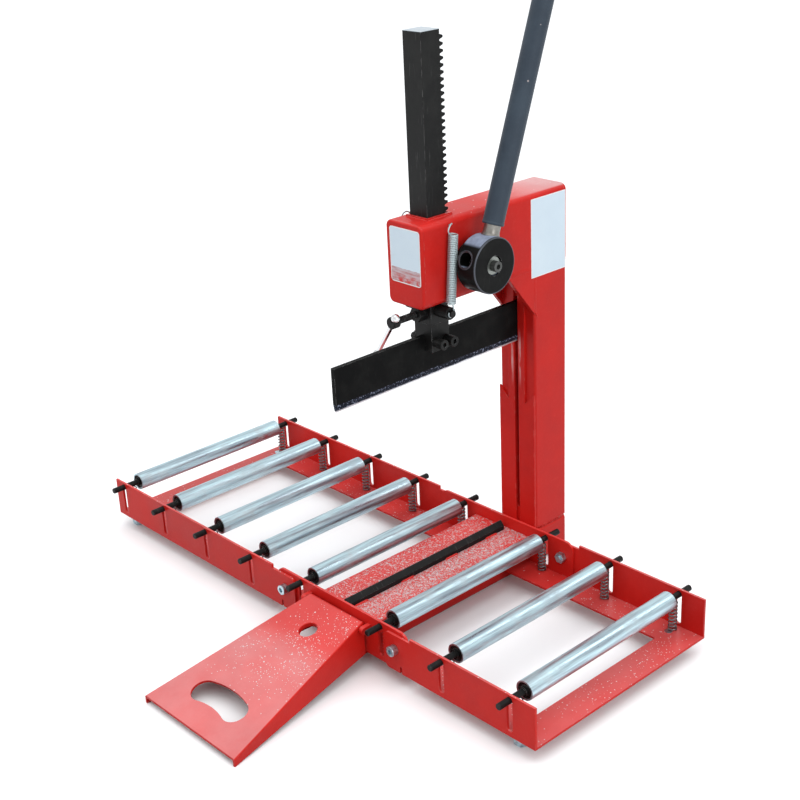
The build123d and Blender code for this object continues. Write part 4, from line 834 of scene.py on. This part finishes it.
def sleeve_welds():
    """Weld round the rack's sleeve, on top of the head."""
    radius = 1.3
    gap = 0.3
    x = SLEEVE_HALF + gap
    front = SLEEVE_FRONT - gap
    rear = SLEEVE_REAR + gap
    beads = weld((x, front, HEAD_TOP), (x, rear, HEAD_TOP), radius)
    for y in (front, rear):
        beads.append(bead(Vector((-x, y, HEAD_TOP)), Vector((x, y, HEAD_TOP)), radius))
    return beads


def column_welds():
    """Weld at the column's foot."""
    radius = 3.2
    side_inset = 3.0
    sink = 1.6
    end_gap = 4.0
    x = HALF_TUBE - side_inset
    z = ARM_TOP - sink
    return weld((x, COLUMN_FRONT + end_gap, z), (x, COLUMN_REAR - end_gap, z), radius)


def gusset_welds():
    """Weld down the column and along the head, beside the gussets."""
    radius = 2.4
    sink = 0.6
    x = 24.0
    low = 362.0
    front = 128.0
    y = COLUMN_FRONT + sink
    z = HEAD_BOTTOM + sink
    down = weld((x, y, low), (x, y, HEAD_BOTTOM), radius)
    return down + weld((x, front, z), (x, COLUMN_FRONT, z), radius)


def blade_tacks():
    """Short welds that hold the lower blade to the bed."""
    radius = 1.7
    gap = 0.4
    half_length = 11.0
    x = LOWER_BLADE_HALF + gap
    beads = []
    for y in (-118.0, -40.0, 38.0, 112.0):
        beads += weld((x, y - half_length, BED_TOP), (x, y + half_length, BED_TOP), radius)
    return beads


def gusset_toes():
    """Ends of the gussets' welds, which run on down the column's sides."""
    radius = 1.5
    sink = 0.7
    x = HALF_TUBE - sink
    top = (x, COLUMN_FRONT + 1.6, 361.0)
    foot = (x, COLUMN_FRONT + 5.2, 353.4)
    return weld(top, foot, radius)


beads = sleeve_welds() + column_welds() + gusset_welds() + blade_tacks() + gusset_toes()
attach(piece("weld_beads", *merged(beads), paint, "red_paint", sharp=80.0), "frame")


def ground_seam(low, high):
    """Ground weld, hardly proud of the sides, from one (y, z) corner to the other."""
    points = []
    for proud, shrink in ((-0.9, 0.8), (-0.05, 0.0), (0.1, 0.7)):
        left, right = low[0] + shrink, high[0] - shrink
        bottom, top = low[1] + shrink, high[1] - shrink
        ring = ((left, bottom), (right, bottom), (right, top), (left, top))
        points += [Vector((HALF_TUBE + proud, y, z)) for y, z in ring]
    faces = [(3, 2, 1, 0), (8, 9, 10, 11)]
    for a in (0, 4):
        for k in range(4):
            after = (k + 1) % 4
            faces.append((a + k, a + after, a + 4 + after, a + 4 + k))
    return points, faces


head_seam = ground_seam((130.0, 416.6), (234.0, 423.4))
column_seam = ground_seam((174.6, 360.0), (178.8, 418.0))
for word, side in (("right", 1), ("left", -1)):
    seams = [([mirrored(p, side) for p in points], faces) for points, faces in (head_seam, column_seam)]
    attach(piece(f"ground_welds_{word}", *merged(seams), paint, "red_paint"), "frame")


def label(name, corners, radius, place, look):
    """Thin film with rounded corners, laid on a surface in strips by place(across, up, lift)."""
    strips = 14
    corner_steps = 6
    sunk = -0.3
    proud = 0.25
    (left, low), (right, high) = corners
    curve = [radius * (1 - math.cos(math.radians(90 * i / corner_steps))) for i in range(corner_steps + 1)]
    between = [left + radius + (right - left - 2 * radius) * i / strips for i in range(1, strips)]
    stops = [left + c for c in curve] + between + [right - c for c in reversed(curve)]
    points = []
    for across in stops:
        short = max(0.0, radius - min(across - left, right - across))
        inset = radius - math.sqrt(max(0.0, radius**2 - short**2))
        for lift in (sunk, proud):
            points.append(place(across, low + inset, lift))
            points.append(place(across, high - inset, lift))
    faces = [(0, 1, 3, 2), tuple(len(points) - k for k in (3, 4, 2, 1))]
    for a in range(0, len(points) - 4, 4):
        for i, j in ((0, 1), (1, 3), (3, 2), (2, 0)):
            faces.append((a + i, a + j, a + 4 + j, a + 4 + i))
    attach(piece(name, points, faces, look, "red_paint", sharp=60.0), "frame")


def head_front(across, up, lift):
    """Point on the front of the head."""
    return Vector((across, HEAD_FRONT - lift, up))


def column_side(across, up, lift):
    """Point on the right side of the head and column."""
    return Vector((HALF_TUBE + lift, across, up))


label("front_label", FRONT_LABEL, FRONT_LABEL_R, head_front, front_film)
label("side_label", SIDE_LABEL, SIDE_LABEL_R, column_side, side_film)


def stage_floor():
    """Pale floor that catches the soft shadow."""
    mesh = bpy.data.meshes.new("floor")
    corners = [(FLOOR_HALF * x, FLOOR_HALF * y, 0) for x, y in ((-1, -1), (1, -1), (1, 1), (-1, 1))]
    mesh.from_pydata([metres(corner) for corner in corners], [], [(0, 1, 2, 3)])
    look = Look("floor", Roughness=0.9, Specular_IOR_Level=0.0)
    pale = look.mix(look.noise(0.8, 2.0), FLOOR, FLOOR_PALE)
    look.feed(look.shader.inputs["Base Color"], look.mix(look.seen(), FLOOR_BOUNCE, pale))
    mesh.materials.append(look.material)
    floor = bpy.data.objects.new("floor", mesh)
    bpy.context.scene.collection.objects.link(floor)


def area_lamp(name, place, target, size, power):
    """Round lamp aimed at a point; places and size in millimetres, power in watts."""
    lamp = bpy.data.lights.new(name, "AREA")
    lamp.shape = "DISK"
    lamp.size = size / 1000
    lamp.energy = power
    thing = bpy.data.objects.new(name, lamp)
    thing.location = metres(place)
    thing.rotation_euler = (Vector(target) - Vector(place)).to_track_quat("-Z", "Y").to_euler()
    bpy.context.scene.collection.objects.link(thing)


def sky():
    """White background, and for light a pale sky that is brighter overhead."""
    world = bpy.data.worlds.new("sky")
    bpy.context.scene.world = world
    world.use_nodes = True
    graph = Graph(world.node_tree)
    ways = graph.add("TexCoord", {}).outputs["Generated"]
    height = graph.add("SeparateXYZ", {0: ways}).outputs[Z]
    glow = graph.nodes["Background"]
    graph.feed(glow.inputs["Color"], SKY)
    graph.feed(glow.inputs["Strength"], graph.spread(height, 0.25, 1.75))
    white = graph.add("Background", {"Color": WHITE})
    chosen = graph.add("MixShader", {0: graph.seen(), 1: glow.outputs[0], 2: white.outputs[0]})
    graph.feed(graph.nodes["World Output"].inputs["Surface"], chosen.outputs[0])


def aim_camera():
    """Camera where the photo was taken from."""
    azimuth = math.radians(CAMERA_AZIMUTH)
    elevation = math.radians(CAMERA_ELEVATION)
    roll = math.radians(CAMERA_ROLL)
    away = math.cos(elevation)
    back = Vector((math.sin(azimuth) * away, -math.cos(azimuth) * away, math.sin(elevation)))
    level = Vector((math.cos(azimuth), math.sin(azimuth), 0))
    right = math.cos(roll) * level + math.sin(roll) * back.cross(level)
    up = back.cross(right)
    camera = bpy.data.cameras.new("camera")
    camera.sensor_width = SENSOR_WIDTH
    camera.lens = CAMERA_LENS
    thing = bpy.data.objects.new("camera", camera)
    turn = Matrix((right, up, back)).transposed().to_4x4()
    thing.matrix_world = Matrix.Translation(metres(CAMERA_PLACE)) @ turn
    bpy.context.scene.collection.objects.link(thing)
    bpy.context.scene.camera = thing


stage_floor()
sky()
area_lamp("overhead", place=(400, -500, 3200), target=(0, 0, 200), size=2400, power=16.0)
area_lamp("front_left", place=(-1600, -2400, 1600), target=(0, 0, 300), size=1600, power=4.0)
area_lamp("right", place=(2600, -400, 1400), target=(0, 0, 300), size=1400, power=17.0)
area_lamp("rear_right", place=(1300, 2100, 2400), target=(0, 0, 200), size=700, power=7.0)
aim_camera()
bpy.context.scene.view_settings.view_transform = "Standard"
